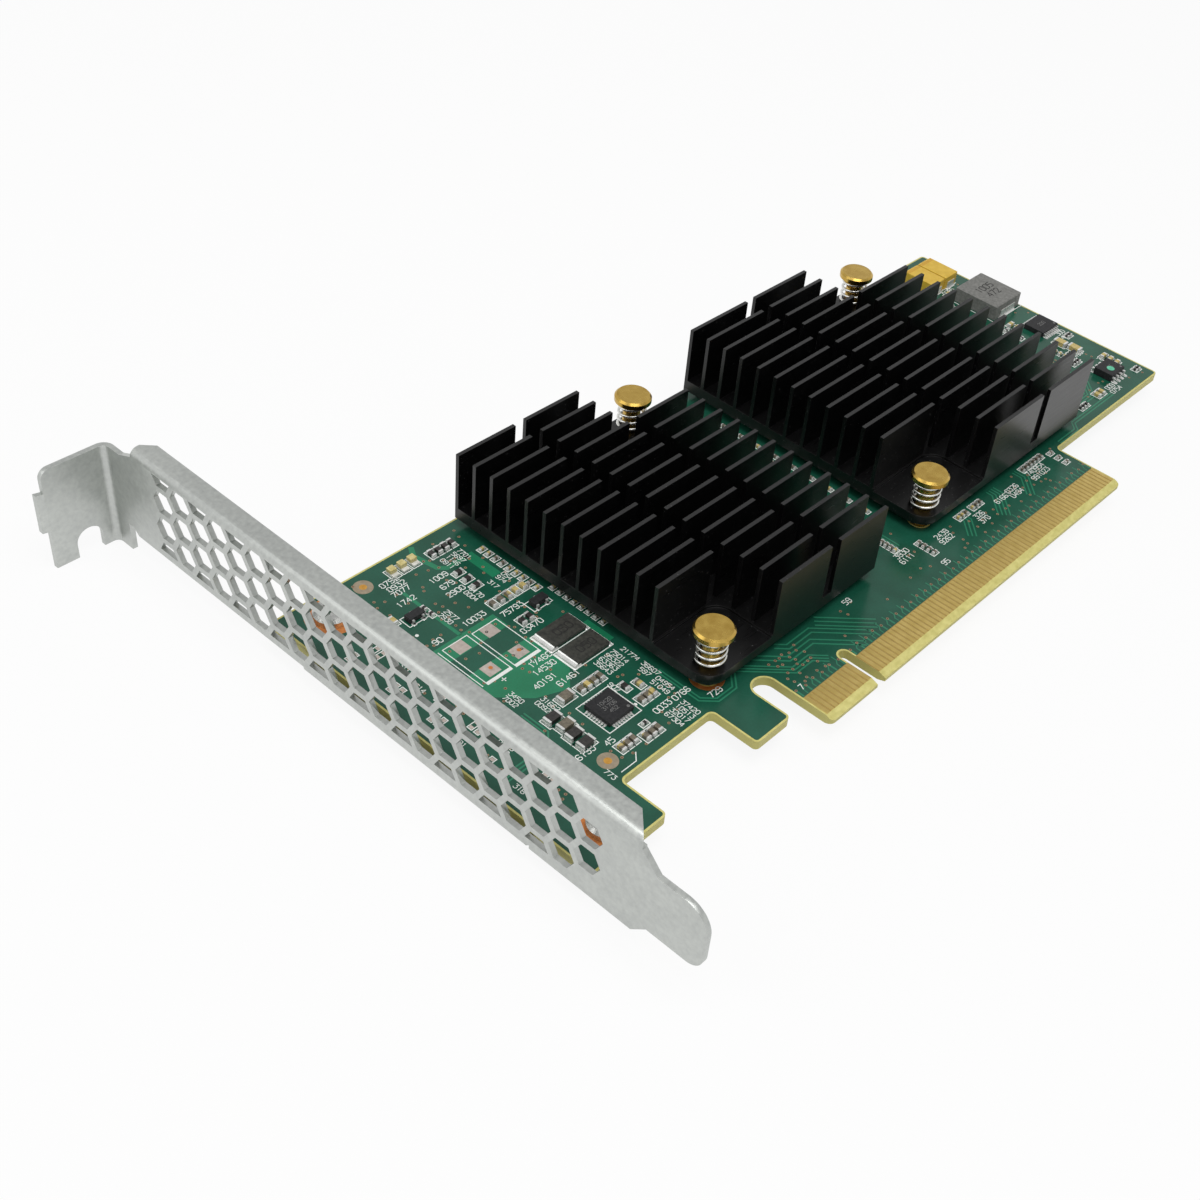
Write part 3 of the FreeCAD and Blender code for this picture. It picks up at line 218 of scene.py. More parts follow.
# The darker ground between the contacts stops short of the connector's ends
GROUND_INSET = 0.4


def laminate_material():
    """Glass-fibre board: layered yellow edges, and a darker ground between the gold contacts."""
    paint = Paint("glass_fibre_laminate", {"Specular IOR Level": 0.4})
    across, along, _ = paint.axes()
    weave = paint.noise(0.9, stretch=(1, 1, 3))
    plain = paint.mix(paint.spread(weave, 0, 1), srgb(204, 195, 114), srgb(226, 218, 140))
    layer = paint.node("TexWave", {"Vector": paint.millimetres(), "Scale": 1.6, "Distortion": 1.2},
                       bands_direction="Z")
    edge = paint.mix(layer.outputs["Fac"], srgb(176, 167, 90), srgb(218, 212, 136))
    upright = paint.between(paint.facing("Z"), -UPRIGHT_NORMAL, UPRIGHT_NORMAL)
    ground = paint.mix(paint.spread(weave, 0, 1), srgb(168, 140, 76), srgb(184, 156, 88))
    rows = paint.between(along, BEVEL_RUN, MASK_CONTACT_EDGE)
    columns = paint.between(across, CONNECTOR_LEFT + GROUND_INSET, CONNECTOR_RIGHT - GROUND_INSET)
    contacts = paint.calculate("MULTIPLY", rows, columns)
    colour = paint.mix(contacts, plain, ground)
    colour = paint.mix(upright, colour, edge)
    return paint.finish(colour, paint.spread(weave, 0.45, 0.6), weave, 0.01)


def mask_material(name, dark, light):
    """Green solder mask with faint patches where copper lies under it."""
    paint = Paint(name, {"Specular IOR Level": 0.38})
    patches = paint.noise(0.16, detail=2)
    fine = paint.noise(2.5)
    both = paint.together(0.75, patches, fine)
    colour = paint.mix(paint.spread(both, 0, 1, 0.35, 0.65), dark, light)
    return paint.finish(colour, paint.spread(fine, 0.16, 0.24), fine, 0.004)


def sink_material():
    """Black anodised aluminium with satin draw lines along the fins and a few pale specks."""
    paint = Paint("black_anodised_aluminium", {"Specular IOR Level": 0.44})
    lines = paint.noise(4, stretch=(0.04, 1, 1))
    patches = paint.noise(0.3)
    colour = paint.mix(paint.spread(patches, 0, 1), (0.0012, 0.0012, 0.0013, 1), (0.003, 0.003, 0.0032, 1))
    specks = paint.spread(paint.noise(4, detail=1), 0, 1, 0.74, 0.78)
    colour = paint.mix(specks, colour, (0.16, 0.16, 0.16, 1))
    return paint.finish(colour, paint.spread(lines, 0.27, 0.36), lines, 0.003)


def bracket_material():
    """Zinc-plated steel sheet with a fine mottle and soft streaks."""
    paint = Paint("zinc_plated_sheet", {"Metallic": 1.0})
    spangle = paint.noise(1.4, detail=6)
    cloud = paint.noise(0.12, stretch=(1, 0.4, 1))
    both = paint.together(0.6, spangle, cloud)
    colour = paint.mix(paint.spread(both, 0, 1, 0.35, 0.65), srgb(179, 182, 179), srgb(199, 202, 198))
    return paint.finish(colour, paint.spread(spangle, 0.36, 0.46), spangle, 0.004)


def brass_material(name, middle):
    """Turned brass with lathe rings about a pin's own axis."""
    paint = Paint(name, {"Metallic": 1.0})
    rings = paint.node("TexWave", {
        "Vector": paint.millimetres(middle=(middle.x, middle.y, 0)), "Scale": 2.6, "Distortion": 0.6,
        "Detail": 2.0,
    }, wave_type="RINGS", rings_direction="Z").outputs["Fac"]
    tarnish = paint.noise(0.6)
    colour = paint.mix(paint.spread(tarnish, 0, 1), srgb(182, 148, 70), srgb(206, 174, 92))
    return paint.finish(colour, paint.spread(tarnish, 0.2, 0.32), rings, 0.003)


def ceramic_material():
    """Fired ceramic that is grey on some parts and cream on others, and cream on all at the far end."""
    paint = Paint("fired_ceramic", {"Specular IOR Level": 0.4})
    batch = paint.noise(0.35, detail=0)
    grain = paint.spread(paint.noise(3), 0, 1)
    grey = paint.mix(grain, srgb(98, 92, 80), srgb(130, 122, 106))
    cream = paint.mix(grain, srgb(190, 170, 104), srgb(214, 194, 130))
    far = paint.calculate("GREATER_THAN", paint.axes()["X"], FAR_END)
    share = paint.calculate("MAXIMUM", paint.spread(batch, 0, 1, 0.55, 0.6), far)
    colour = paint.mix(share, grey, cream)
    return paint.finish(colour, paint.spread(grain, 0.4, 0.55, 0, 1), grain, 0.004)


METAL = {"Metallic": 1.0}
THIN_METAL = {"Metallic": 0.6}
DULL_METAL = {"Metallic": 0.5}
SOFT_GLOSS = {"Specular IOR Level": 0.35}
CLEAR_COAT = {"Coat Weight": 0.4, "Coat Roughness": 0.08}

# Materials of the CAD nodes, by slot. The push pins get their own
FINISHES = {
    "laminate": laminate_material(),
    "gold_plating": mottled(
        "gold_plating", (206, 180, 106), (222, 197, 124), 0.7, (0.3, 0.42), 0.004, METAL),
    "bracket_steel": bracket_material(),
    "screw_steel": mottled(
        "plated_screw_steel", (170, 172, 170), (214, 214, 210), 1.2, (0.22, 0.36), 0.006, METAL),
    "black_aluminium": sink_material(),
    "spring_steel": mottled(
        "drawn_spring_wire", (200, 200, 196), (236, 236, 232), 2.0, (0.14, 0.26), 0.003, METAL),
    "thermal_filler": mottled("thermal_filler", (150, 154, 158), (178, 180, 182), 1.5, (0.7, 0.85), 0.02),
    "processor_case": mottled("processor_case", (46, 52, 50), (64, 70, 66), 1.0, (0.5, 0.65), 0.008),
    "inductor_core": mottled(
        "pressed_iron_powder", (112, 112, 109), (138, 138, 134), 1.8, (0.55, 0.75), 0.03, SOFT_GLOSS),
    "tantalum_case": mottled("tantalum_resin", (218, 178, 52), (232, 194, 72), 0.8, (0.36, 0.5), 0.01),
    "chip_case": mottled(
        "moulded_chip_resin", (26, 26, 28), (44, 44, 46), 2.2, (0.5, 0.68), 0.012, SOFT_GLOSS),
    "resistor_glaze": mottled("resistor_glaze", (34, 32, 31), (58, 55, 52), 2.5, (0.26, 0.42), 0.01),
    "ceramic_block": ceramic_material(),
    "tinned_metal": mottled(
        "bright_tin", (222, 222, 219), (240, 240, 238), 0.8, (0.25, 0.32), 0.002, DULL_METAL),
    "light_lens": mottled(
        "cream_lens", (200, 184, 112), (224, 210, 148), 1.5, (0.14, 0.24), 0.004, CLEAR_COAT),
    "light_base": mottled("white_moulding", (214, 214, 206), (236, 236, 230), 1.8, (0.4, 0.55), 0.006),
}

# Materials of the finishes that are added here
MASK = mask_material("solder_mask", (0.008, 0.076, 0.044, 1), (0.014, 0.108, 0.066, 1))
POUR = mask_material("solder_mask_over_bare_laminate", (0.014, 0.19, 0.088, 1), (0.022, 0.24, 0.12, 1))
TRACE = mask_material("solder_mask_over_trace", (0.026, 0.2, 0.11, 1), (0.034, 0.24, 0.135, 1))
PRINT = mottled("white_print", (240, 243, 238), (250, 252, 248), 3.0, (0.5, 0.65), 0.004)
VIA_METAL = mottled("tented_via", (138, 108, 82), (176, 146, 116), 2.0, (0.3, 0.45), 0.006)
# Painted shade: near-black discs in the middle of the plated holes, in place of the shade inside open bores
# that the board doesn't have
HOLE_PAINTED_SHADE = mottled("via_hole_painted_shade", (24, 20, 16), (46, 38, 30), 2.0, (0.6, 0.8), 0.004)
COPPER = mottled(
    "plated_copper", (206, 122, 62), (228, 148, 84), 1.0, (0.34, 0.48), 0.004, THIN_METAL)
GOLD_DOT = mottled("gold_dot", (204, 146, 60), (228, 176, 86), 1.4, (0.3, 0.42), 0.004, THIN_METAL)
CLEARING = mottled("bare_laminate_ring", (146, 132, 110), (168, 153, 130), 1.5, (0.35, 0.5), 0.006)
SOLDER = mottled("solder", (214, 214, 211), (234, 234, 231), 0.8, (0.2, 0.28), 0.002, DULL_METAL)
SENSE_GLAZE = mottled(
    "sense_resistor_glaze", (46, 47, 44), (72, 72, 66), 1.6, (0.35, 0.5), 0.008, SOFT_GLOSS)
DARK_MARK = mottled("dark_mark", (26, 25, 24), (38, 37, 35), 3.0, (0.5, 0.65), 0.002)
BARE_PAD = mottled(
    "dull_tinned_pad", (188, 174, 164), (216, 204, 195), 1.2, (0.35, 0.5), 0.01, DULL_METAL)
LASER_MARK = mottled("laser_mark", (98, 98, 98), (128, 128, 126), 3.0, (0.6, 0.75), 0.002)
BAND = mottled("polarity_band", (206, 156, 42), (220, 172, 56), 1.2, (0.4, 0.55), 0.006)
LABEL_GREEN = mottled("green_label", (84, 190, 150), (120, 214, 178), 1.4, (0.45, 0.6), 0.004)


# Pieces


def add_object(name, data):
    """Add an object to the scene."""
    thing = bpy.data.objects.new(name, data)
    bpy.context.scene.collection.objects.link(thing)
    return thing


def mesh_of(name, shape, material):
    """A mesh of one material from a shape, which is used up."""
    mesh = bpy.data.meshes.new(name)
    shape.to_mesh(mesh)
    shape.free()
    mesh.materials.append(material)
    return mesh


def add_piece(name, shape, material):
    """Turn a shape into a piece of the card that rides with it."""
    bmesh.ops.recalc_face_normals(shape, faces=shape.faces)
    piece = add_object(name, mesh_of(name, shape, material))
    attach(piece, "root")


def strip(shape, first, second):
    """A closed strip of faces between two outlines."""
    for i in range(len(first)):
        j = (i + 1) % len(first)
        shape.faces.new((first[i], first[j], second[j], second[i]))


def circle(middle, radius, sides):
    """Corners of a round outline."""
    turns = [math.tau * i / sides for i in range(sides)]
    return [(middle[0] + radius * math.cos(turn), middle[1] + radius * math.sin(turn)) for turn in turns]


def rectangle(low, high):
    """Corners of an upright rectangle."""
    return [(low[0], low[1]), (high[0], low[1]), (high[0], high[1]), (low[0], high[1])]


# A mitred corner lies at most this many offsets away from the path
LONGEST_MITRE = 2


def sideways(points, offset):
    """A path moved to its left by an offset, with mitred corners. It is a loop if its ends meet."""
    loop = points[0] == points[-1]
    lines = [(Vector(end) - Vector(start)).normalized() for start, end in zip(points, points[1:])]
    moved = []
    for i, point in enumerate(points[:-1] if loop else points):
        before = lines[i - 1] if loop else lines[max(i - 1, 0)]
        after = lines[min(i, len(lines) - 1)]
        left = Vector((-before.y - after.y, before.x + after.x)).normalized()
        reach = offset / max(left.dot(Vector((-after.y, after.x))), 1 / LONGEST_MITRE)
        moved.append(tuple(Vector(point) + left * reach))
    return moved


class Layer:
    """A thin finish on one face of the board, collected as closed slabs between two heights."""

    def __init__(self, high, underside=False, low=MASK_HIGH):
        level = BOARD_LOW.z if underside else BOARD_HIGH.z
        self.way = -1 if underside else 1
        self.heights = (level + self.way * low, level + self.way * high)
        self.shape = bmesh.new()

    def lift(self, points):
        """The corners of an outline at both heights."""
        return [[self.shape.verts.new((x * MM, y * MM, z * MM)) for x, y in points] for z in self.heights]

    def polygon(self, points):
        """A slab with a plain outline."""
        bottom, top = self.lift(points)
        self.shape.faces.new(bottom)
        self.shape.faces.new(top)
        strip(self.shape, bottom, top)

    def ring(self, outer, inner):
        """A slab between two outlines that have the same number of corners."""
        outer_bottom, outer_top = self.lift(outer)
        inner_bottom, inner_top = self.lift(inner)
        strip(self.shape, outer_bottom, outer_top)
        strip(self.shape, inner_bottom, inner_top)
        strip(self.shape, outer_top, inner_top)
        strip(self.shape, outer_bottom, inner_bottom)

    def disc(self, middle, radius, hole=0.0, sides=20):
        """A round slab, with a hole if one is given."""
        outer = circle(middle, radius, sides)
        if hole:
            self.ring(outer, circle(middle, hole, sides))
        else:
            self.polygon(outer)

    def frame(self, low, high, width):
        """An upright rectangular outline drawn with a line."""
        inner = rectangle((low[0] + width, low[1] + width), (high[0] - width, high[1] - width))
        self.ring(rectangle(low, high), inner)

    def path(self, points, width):
        """A line of one width through several points, closed if it ends where it starts."""
        left, right = sideways(points, width / 2), sideways(points, -width / 2)
        if points[0] == points[-1]:
            self.ring(right, left)
            return
        left_low, left_high = self.lift(left)
        right_low, right_high = self.lift(right)
        edges = (left_low, left_high, right_high, right_low)
        for i in range(len(points) - 1):
            for first, second in zip(edges, edges[1:] + edges[:1]):
                self.shape.faces.new((first[i], first[i + 1], second[i + 1], second[i]))
        for i in (0, -1):
            self.shape.faces.new([edge[i] for edge in edges])

    def number(self, text, start, tall, width, turned=False):
        """Digits drawn with strokes, read along X or, when turned, along -Y, from the layer's own side."""
        step = tall / DIGIT_ROWS
        for place, digit in enumerate(text):
            for stroke in DIGIT_STROKES[int(digit)]:
                points = []
                for column, row in stroke:
                    x, y = (column + place * DIGIT_ADVANCE) * step, row * step * self.way
                    points.append((start[0] + y, start[1] - x) if turned else (start[0] + x, start[1] + y))
                self.path(points, width)

    def finish(self, name, material, slot=None):
        """Make the piece."""
        add_piece(name, self.shape, material)


# Strokes of the digits 0 to 9 on a grid of columns and rows, and the columns from digit to digit
DIGIT_COLUMNS = 4
DIGIT_ROWS = 6
DIGIT_ADVANCE = 5.2
DIGIT_STROKES = (
    [[(1, 0), (3, 0), (4, 1), (4, 5), (3, 6), (1, 6), (0, 5), (0, 1), (1, 0)]],
    [[(1, 5), (2, 6), (2, 0)]],
    [[(0, 5), (1, 6), (3, 6), (4, 5), (4, 4), (0, 0), (4, 0)]],
    [[(0, 6), (4, 6), (2, 4), (3, 4), (4, 3), (4, 1), (3, 0), (1, 0), (0, 1)]],
    [[(3, 6), (0, 2), (4, 2)], [(3, 0), (3, 5)]],
    [[(4, 6), (0, 6), (0, 3.5), (3, 3.5), (4, 2.5), (4, 1), (3, 0), (0, 0)]],
    [[(4, 5), (3, 6), (1, 6), (0, 5), (0, 1), (1, 0), (3, 0), (4, 1), (4, 2), (3, 3), (0.5, 3)]],
    [[(0, 6), (4, 6), (1, 0)]],
    [[(1, 3), (3, 3), (4, 4), (4, 5), (3, 6), (1, 6), (0, 5), (0, 4), (1, 3)],
     [(1, 0), (3, 0), (4, 1), (4, 2), (3, 3), (1, 3), (0, 2), (0, 1), (1, 0)]],
    [[(3.5, 3), (1, 3), (0, 4), (0, 5), (1, 6), (3, 6), (4, 5), (4, 1), (3, 0), (1, 0), (0, 1)]],
)


def around(points):
    """The box round a number of points: its lowest and its highest corner."""
    low = Vector([min(point[axis] for point in points) for axis in range(3)])
    high = Vector([max(point[axis] for point in points) for axis in range(3)])
    return low, high


def welded(name):
    """The shape of a CAD node, with the points joined that lie in the same place."""
    shape = bmesh.new()
    shape.from_mesh(frame["nodes"][name].data)
    bmesh.ops.remove_doubles(shape, verts=shape.verts, dist=WELD_GAP * MM)
    return shape


def solids_of(name):
    """The boxes, in millimetres, of the separate solids in a CAD node."""
    shape = welded(name)
    seen = set()
    boxes = []
    for vertex in shape.verts:
        if vertex in seen:
            continue
        group = [vertex]
        seen.add(vertex)
        for member in group:
            for edge in member.link_edges:
                other = edge.other_vert(member)
                if other not in seen:
                    seen.add(other)
                    group.append(other)
        boxes.append(around([member.co / MM for member in group]))
    shape.free()
    return boxes


def middle_of(box):
    """The middle of a box."""
    return (box[0] + box[1]) / 2


def grown(box, margin):
    """A box with a margin all round it in the plan."""
    step = Vector((margin, margin, 0))
    return box[0] - step, box[1] + step


def meets(first, second):
    """Whether two boxes overlap in the plan."""
    return all(first[0][axis] < second[1][axis] and second[0][axis] < first[1][axis] for axis in (0, 1))


def grouped(boxes, gap):
    """The boxes round each group of boxes that lie closer together than a gap."""
    groups = []
    for box in boxes:
        joined = box
        apart = []
        for group in groups:
            if meets(grown(group, gap), joined):
                joined = around([*group, *joined])
            else:
                apart.append(group)
        groups = apart + [joined]
    return groups


# A face is level if its normal's Z is at least this
LEVEL_NORMAL = 0.99


def solder_mask(side, facing, level):
    """The mask over one face of the board, clear of its edges, holes and contacts."""
    shape = welded("circuit_board")
    away = [face for face in shape.faces if face.normal.z * facing < LEVEL_NORMAL]
    bmesh.ops.delete(shape, geom=away, context="FACES")
    rim = bmesh.ops.inset_region(shape, faces=shape.faces, thickness=MASK_INSET * MM, use_boundary=True,
                                 use_even_offset=True)
    bmesh.ops.delete(shape, geom=rim["faces"], context="FACES")
    everything = shape.verts[:] + shape.edges[:] + shape.faces[:]
    bmesh.ops.bisect_plane(shape, geom=everything, plane_co=(0, MASK_CONTACT_EDGE * MM, 0),
                           plane_no=(0, 1, 0))
    contacts = []
    for face in shape.faces:
        middle = face.calc_center_median() / MM
        if middle.y < MASK_CONTACT_EDGE and middle.x > CONNECTOR_LEFT:
            contacts.append(face)
    bmesh.ops.delete(shape, geom=contacts, context="FACES")
    for vertex in shape.verts:
        vertex.co.z = level * MM
    extruded = bmesh.ops.extrude_face_region(shape, geom=shape.faces[:], use_keep_orig=True)
    for part in extruded["geom"]:
        if isinstance(part, bmesh.types.BMVert):
            part.co.z = (level + facing * MASK_HIGH) * MM
    add_piece("solder_mask_" + side, shape, MASK)


# The skirt of solder round a terminal's foot: shares of its reach and rise, its reach at the top, and the
# cut of its corners as a share of the reach and a length
SKIRT = [(1.0, 0.0), (0.5, 0.22), (0.2, 0.6)]
SKIRT_TOP = 0.02
SKIRT_CORNER, SKIRT_CORNER_LEAST = 0.6, 0.02


def solder_joint(shape, box, reach, rise):
    """A concave skirt of solder round the foot of one terminal."""
    low, high = box
    steps = [(out * reach, up * rise) for out, up in SKIRT] + [(SKIRT_TOP, rise)]
    rings = []
    for out, up in steps:
        corner = out * SKIRT_CORNER + SKIRT_CORNER_LEAST
        left, right = low.x - out, high.x + out
        near, far = low.y - out, high.y + out
        outline = [
            (left + corner, near), (right - corner, near), (right, near + corner), (right, far - corner),
            (right - corner, far), (left + corner, far), (left, far - corner), (left, near + corner),
        ]
        height = (MASK_HIGH + up) * MM
        rings.append([shape.verts.new((x * MM, y * MM, height)) for x, y in outline])
    for lower, upper in zip(rings, rings[1:]):
        strip(shape, lower, upper)
    shape.faces.new(rings[0])
    shape.faces.new(rings[-1])


def climb(shape, box, rise, profile):
    """A form on top of one low terminal that rises along +X as a profile says, over the whole width."""
    low, high = box
    sides = []
    for y in (low.y, high.y):
        spots = [(low.x + (high.x - low.x) * along, y, high.z + rise * up) for along, up in profile]
        sides.append([shape.verts.new(Vector(spot) * MM) for spot in spots])
        shape.faces.new(sides[-1])
    strip(shape, *sides)


# How far the solder reaches out and climbs at the terminals of each kind of part
JOINTS = {
    "capacitor_terminals": (0.06, 0.3),
    "resistor_terminals": (0.06, 0.24),
    "sense_terminals": (0.2, 0.3),
    "inductor_terminals": (0.35, 0.6),
    "tantalum_terminals": (0.3, 0.45),
    "regulator_leads": (0.1, 0.14),
    "memory_leads": (0.14, 0.16),
    "controller_pads": (0.06, 0.08),
    "transistor_leads": (0.16, 0.18),
}

# The long ends of the sense resistors: shares of an end's run and rise for the solder on its outer half and
# the cover on its inner half, and the run over which an end is long
END_SOLDER = [(0.0, 0.0), (0.16, 0.12), (0.34, 0.45), (0.46, 0.85), (0.46, 0.0)]
END_COVER = [(0.44, 0.0), (0.5, 0.8), (0.57, 1.0), (1.0, 1.0), (1.0, 0.0)]
LONG_END = 1.0


def solder_joints():
    """Solder at every terminal in one piece, and the covers over the sense resistors' long ends."""
    shape = bmesh.new()
    for node, (reach, rise) in JOINTS.items():
        for box in solids_of(node):
            solder_joint(shape, box, reach, rise)
    covers = bmesh.new()
    top = solids_of("sense_resistor_1")[0][1].z
    for box in solids_of("sense_terminals"):
        if box[1].x - box[0].x > LONG_END:
            climb(shape, box, top - box[1].z, END_SOLDER)
            climb(covers, box, top - box[1].z, END_COVER)
    add_piece("solder_joints", shape, SOLDER)
    add_piece("sense_resistor_covers", covers, SENSE_GLAZE)


# Lines under the mask: points, number of lines side by side and their spacing
ROUTES = [
    ([(-14.5, 16.5), (-8.2, 10.2), (-4.4, 10.2), (-2.4, 8.2)], 3, 0.6),
    ([(-11, 16.3), (-7, 12.3), (-1.4, 12.3), (4.6, 6.3)], 2, 0.9),
    ([(-6.5, 15.5), (-5, 14), (0.4, 14), (7.4, 7)], 2, 0.9),
    ([(2.5, 14.8), (9.4, 7.9)], 3, 0.9),
    ([(-23.2, 24), (-23.2, 15.9), (-21.3, 14), (-17.6, 14), (-14.6, 17)], 2, 0.6),
    ([(-47.5, 62), (-45.5, 64), (-45.5, 67.5)], 3, 0.5),
    ([(-54, 24), (-46.5, 24), (-44, 26.5), (-44, 31)], 3, 0.6),
    ([(20, 66), (20, 50), (23, 47), (23, 20)], 4, 0.6),
    ([(29.5, 66), (29.5, 40), (27, 37.5), (27, 16.5)], 3, 0.6),
    ([(84, 18), (92, 18), (95, 21), (95, 32)], 4, 0.6),
    ([(86, 63), (86, 42), (89, 39), (93, 39)], 3, 0.7),
    ([(74, 13.8), (80, 13.8), (81.5, 15.3), (96, 15.3)], 2, 0.6),
    ([(39, 9.6), (42, 12.6), (42, 14.6)], 3, 0.7),
    ([(48, 9), (52, 13), (52, 14.6)], 4, 0.7),
    ([(56.5, 9), (60, 12.5), (60, 14.6)], 3, 0.7),
]

# Patches and stripes without copper under the mask, where it looks brighter
BRIGHT_PATCHES = [
    [(-44.4, 36.2), (-40.2, 32), (-35.2, 30), (-32, 33.2), (-32, 41.6), (-44.4, 41.6)],
    [(-44.4, 45.4), (-32.4, 45.4), (-32.4, 48.7), (-44.4, 48.7)],
    [(-24, 33), (-22.8, 33), (-22.8, 38.4), (-24, 38.4)],
]
BRIGHT_STRIPES = [
    ([(-39, 61), (-39, 48.6)], 0.6),
    ([(-31.1, 68.2), (-32.2, 66.4), (-31.4, 61.9), (-30.3, 60.9), (-26, 60.9)], 0.9),
    ([(-25.8, 61.3), (-25.8, 54.7)], 1.8),
]

# Printed numbers: place of the first digit of the lowest line, digits in a line and lines
NUMBERS = [
    (-40.6, 61, 4, 3), (-41.5, 58.8, 4, 1), (-34.4, 59.6, 4, 1), (-34.1, 57.5, 3, 1), (-34.6, 55.6, 4, 1),
    (-37.2, 49.3, 5, 1), (-43.1, 49.3, 2, 1), (-31.6, 47.1, 5, 1), (-32, 42.5, 5, 1), (-36.2, 36.6, 5, 1),
    (-36.9, 35, 5, 1), (-38.8, 33, 5, 1), (-35.9, 31.2, 5, 1), (-29.8, 18.1, 4, 1), (-25.9, 18, 4, 1),
    (-44.2, 19.4, 4, 1), (-39.4, 18.6, 2, 1), (-47.2, 44, 3, 2), (-47.6, 28, 3, 2), (-48.8, 14.8, 3, 1),
    (43.2, 10.2, 3, 2), (49.8, 11.4, 5, 1), (53.4, 10.4, 4, 2), (60.6, 10.6, 6, 2), (24.2, 13.2, 4, 2),
    (29.2, 8.4, 2, 1), (9.2, 13.6, 2, 1), (-21.6, 14.8, 3, 1), (-10.6, 6.8, 1, 1), (33.4, 11.6, 4, 2),
    (20.6, 26, 3, 2), (24.2, 32, 3, 1), (27.6, 44, 3, 2), (21.4, 54, 3, 1),
    (86, 46, 4, 3), (97, 40.6, 4, 2), (105.4, 31.6, 3, 2), (100.8, 26.4, 4, 2), (88, 24, 4, 2),
    (96.2, 15, 4, 2), (104.4, 22.6, 4, 1), (86.4, 58, 3, 2), (100.4, 56.6, 4, 2), (85.2, 34, 4, 2),
]
TURNED_NUMBERS = [
    (-30, 62.9, 4, 4), (-32.4, 55.1, 4, 2), (-28.1, 54.5, 3, 1), (-26.4, 54.5, 3, 2), (-38.6, 53.9, 4, 2),
    (-29, 31.4, 5, 4), (-24, 30.7, 5, 1), (-24, 26.6, 5, 1), (-25.2, 26, 3, 1), (-25.9, 23.1, 5, 2),
    (-30.8, 26.9, 3, 1), (-29.2, 17.4, 5, 4), (-43.6, 35.2, 4, 2), (-41, 31.4, 5, 2), (-43.4, 15.8, 3, 1),
    (-54.2, 53.8, 4, 1), (-51, 49.8, 4, 2), (-51, 46, 4, 1), (-54, 43.8, 3, 1), (-54, 34.6, 4, 1),
    (-50.8, 29.6, 4, 2), (-54, 22.4, 3, 1), (-47.8, 50.8, 4, 1),
]
UNDERSIDE_NUMBERS = [
    (-46, 58, 4, 3), (-44, 38, 4, 2), (-30, 28, 5, 3), (-10, 60, 4, 2), (4, 20, 5, 2),
    (24, 44, 4, 3), (46, 18, 5, 2), (60, 58, 4, 3), (88, 30, 4, 3), (98, 54, 4, 2),
]

# Unfitted capacitor places: low and high corner of the printed outline
EMPTY_PLACES = [((-43.2, 38.8), (-38.3, 48)), ((-37.7, 38.7), (-32.7, 47.7))]

# Their pads: half of a side, and distances of the middles from the outline's near and far end. The near pad
# has a copper dot, placed from that end's middle
EMPTY_PAD_HALF, EMPTY_PAD_NEAR, EMPTY_PAD_FAR = 1.15, 1.7, 1.3
EMPTY_DOT_X, EMPTY_DOT_Y = 0.25, 1.9
EMPTY_DOT, EMPTY_DOT_SIDES = 0.34, 16

# Their polarity marks: width of the bar at the near end, and distance and half length of the plus sign
POLARITY_BAR = 0.45
PLUS_BELOW, PLUS_HALF = 1.1, 0.45

# Unfitted small parts behind the bracket: low corner of the first outline, and how many stand in a row
SMALL_PLACES = [
    (-54.4, 55, 1), (-51.2, 52.6, 2), (-54.2, 45.2, 2), (-50.8, 40.4, 1), (-54, 37, 2),
    (-51, 32.2, 2), (-54.2, 27.2, 1), (-51, 19, 2),
]
SMALL_PLACE_LONG, SMALL_PLACE_WIDE, SMALL_PLACE_PITCH = 2.1, 1.05, 1.3
SMALL_PAD_LONG, SMALL_PAD_MARGIN = 0.55, 0.2

# Areas that hold scattered plated holes: low corner, high corner and number
HOLE_AREAS = [
    ((-53, 14.6), (-23.4, 67), 150), ((-10.5, 7.4), (-4, 14), 26), ((34, 8.4), (71, 14.2), 34),
    ((19, 16), (31.4, 67), 60), ((83, 15), (108.6, 67), 90), ((2, 9), (30, 14), 10),
]
UNDERSIDE_AREAS = [((-53, 15), (108, 67), 420)]

# Radii and sides of the plated holes, their distance from each other and from parts, and the tries for each
HOLE_PAD, HOLE_BORE, HOLE_SIDES = 0.24, 0.11, 14
HOLE_SPACING, HOLE_CLEARANCE = 0.8, 0.45
HOLE_TRIES = 20

# Width of the lines under the mask, and the contacts' pitch and first distance from the key notch's middle
TRACE_WIDE = 0.26
CONTACT_PITCH, CONTACT_FIRST = 1.0, 1.5

# Lines from the contacts. The even ones run straight to a plated hole, every other of which lies further
# out. The odd ones step aside
LEAD_START = MASK_CONTACT_EDGE + 0.1
STRAIGHT_END, STRAIGHT_FURTHER, STRAIGHT_WIDE = 7.1, 0.25, 0.3
STEPPED_BEND, STEPPED_ASIDE, STEPPED_END, STEPPED_WIDE = 6.6, 0.6, 8.2, 0.18


def small_places():
    """The outlines of the unfitted small parts, as pairs of corners."""
    outlines = []
    for x, y, count in SMALL_PLACES:
        for i in range(count):
            low = Vector((x, y + SMALL_PLACE_PITCH * i, 0))
            outlines.append((low, low + Vector((SMALL_PLACE_LONG, SMALL_PLACE_WIDE, 0))))
    return outlines


def part_boxes():
    """The boxes of all parts that stand on the board, or could."""
    boxes = small_places()
    for name in frame["nodes"]:
        if name not in ("circuit_board", "bracket") and not name.startswith("contact"):
            boxes += [box for box in solids_of(name) if box[1].z > PRINT_HIGH]
    return boxes


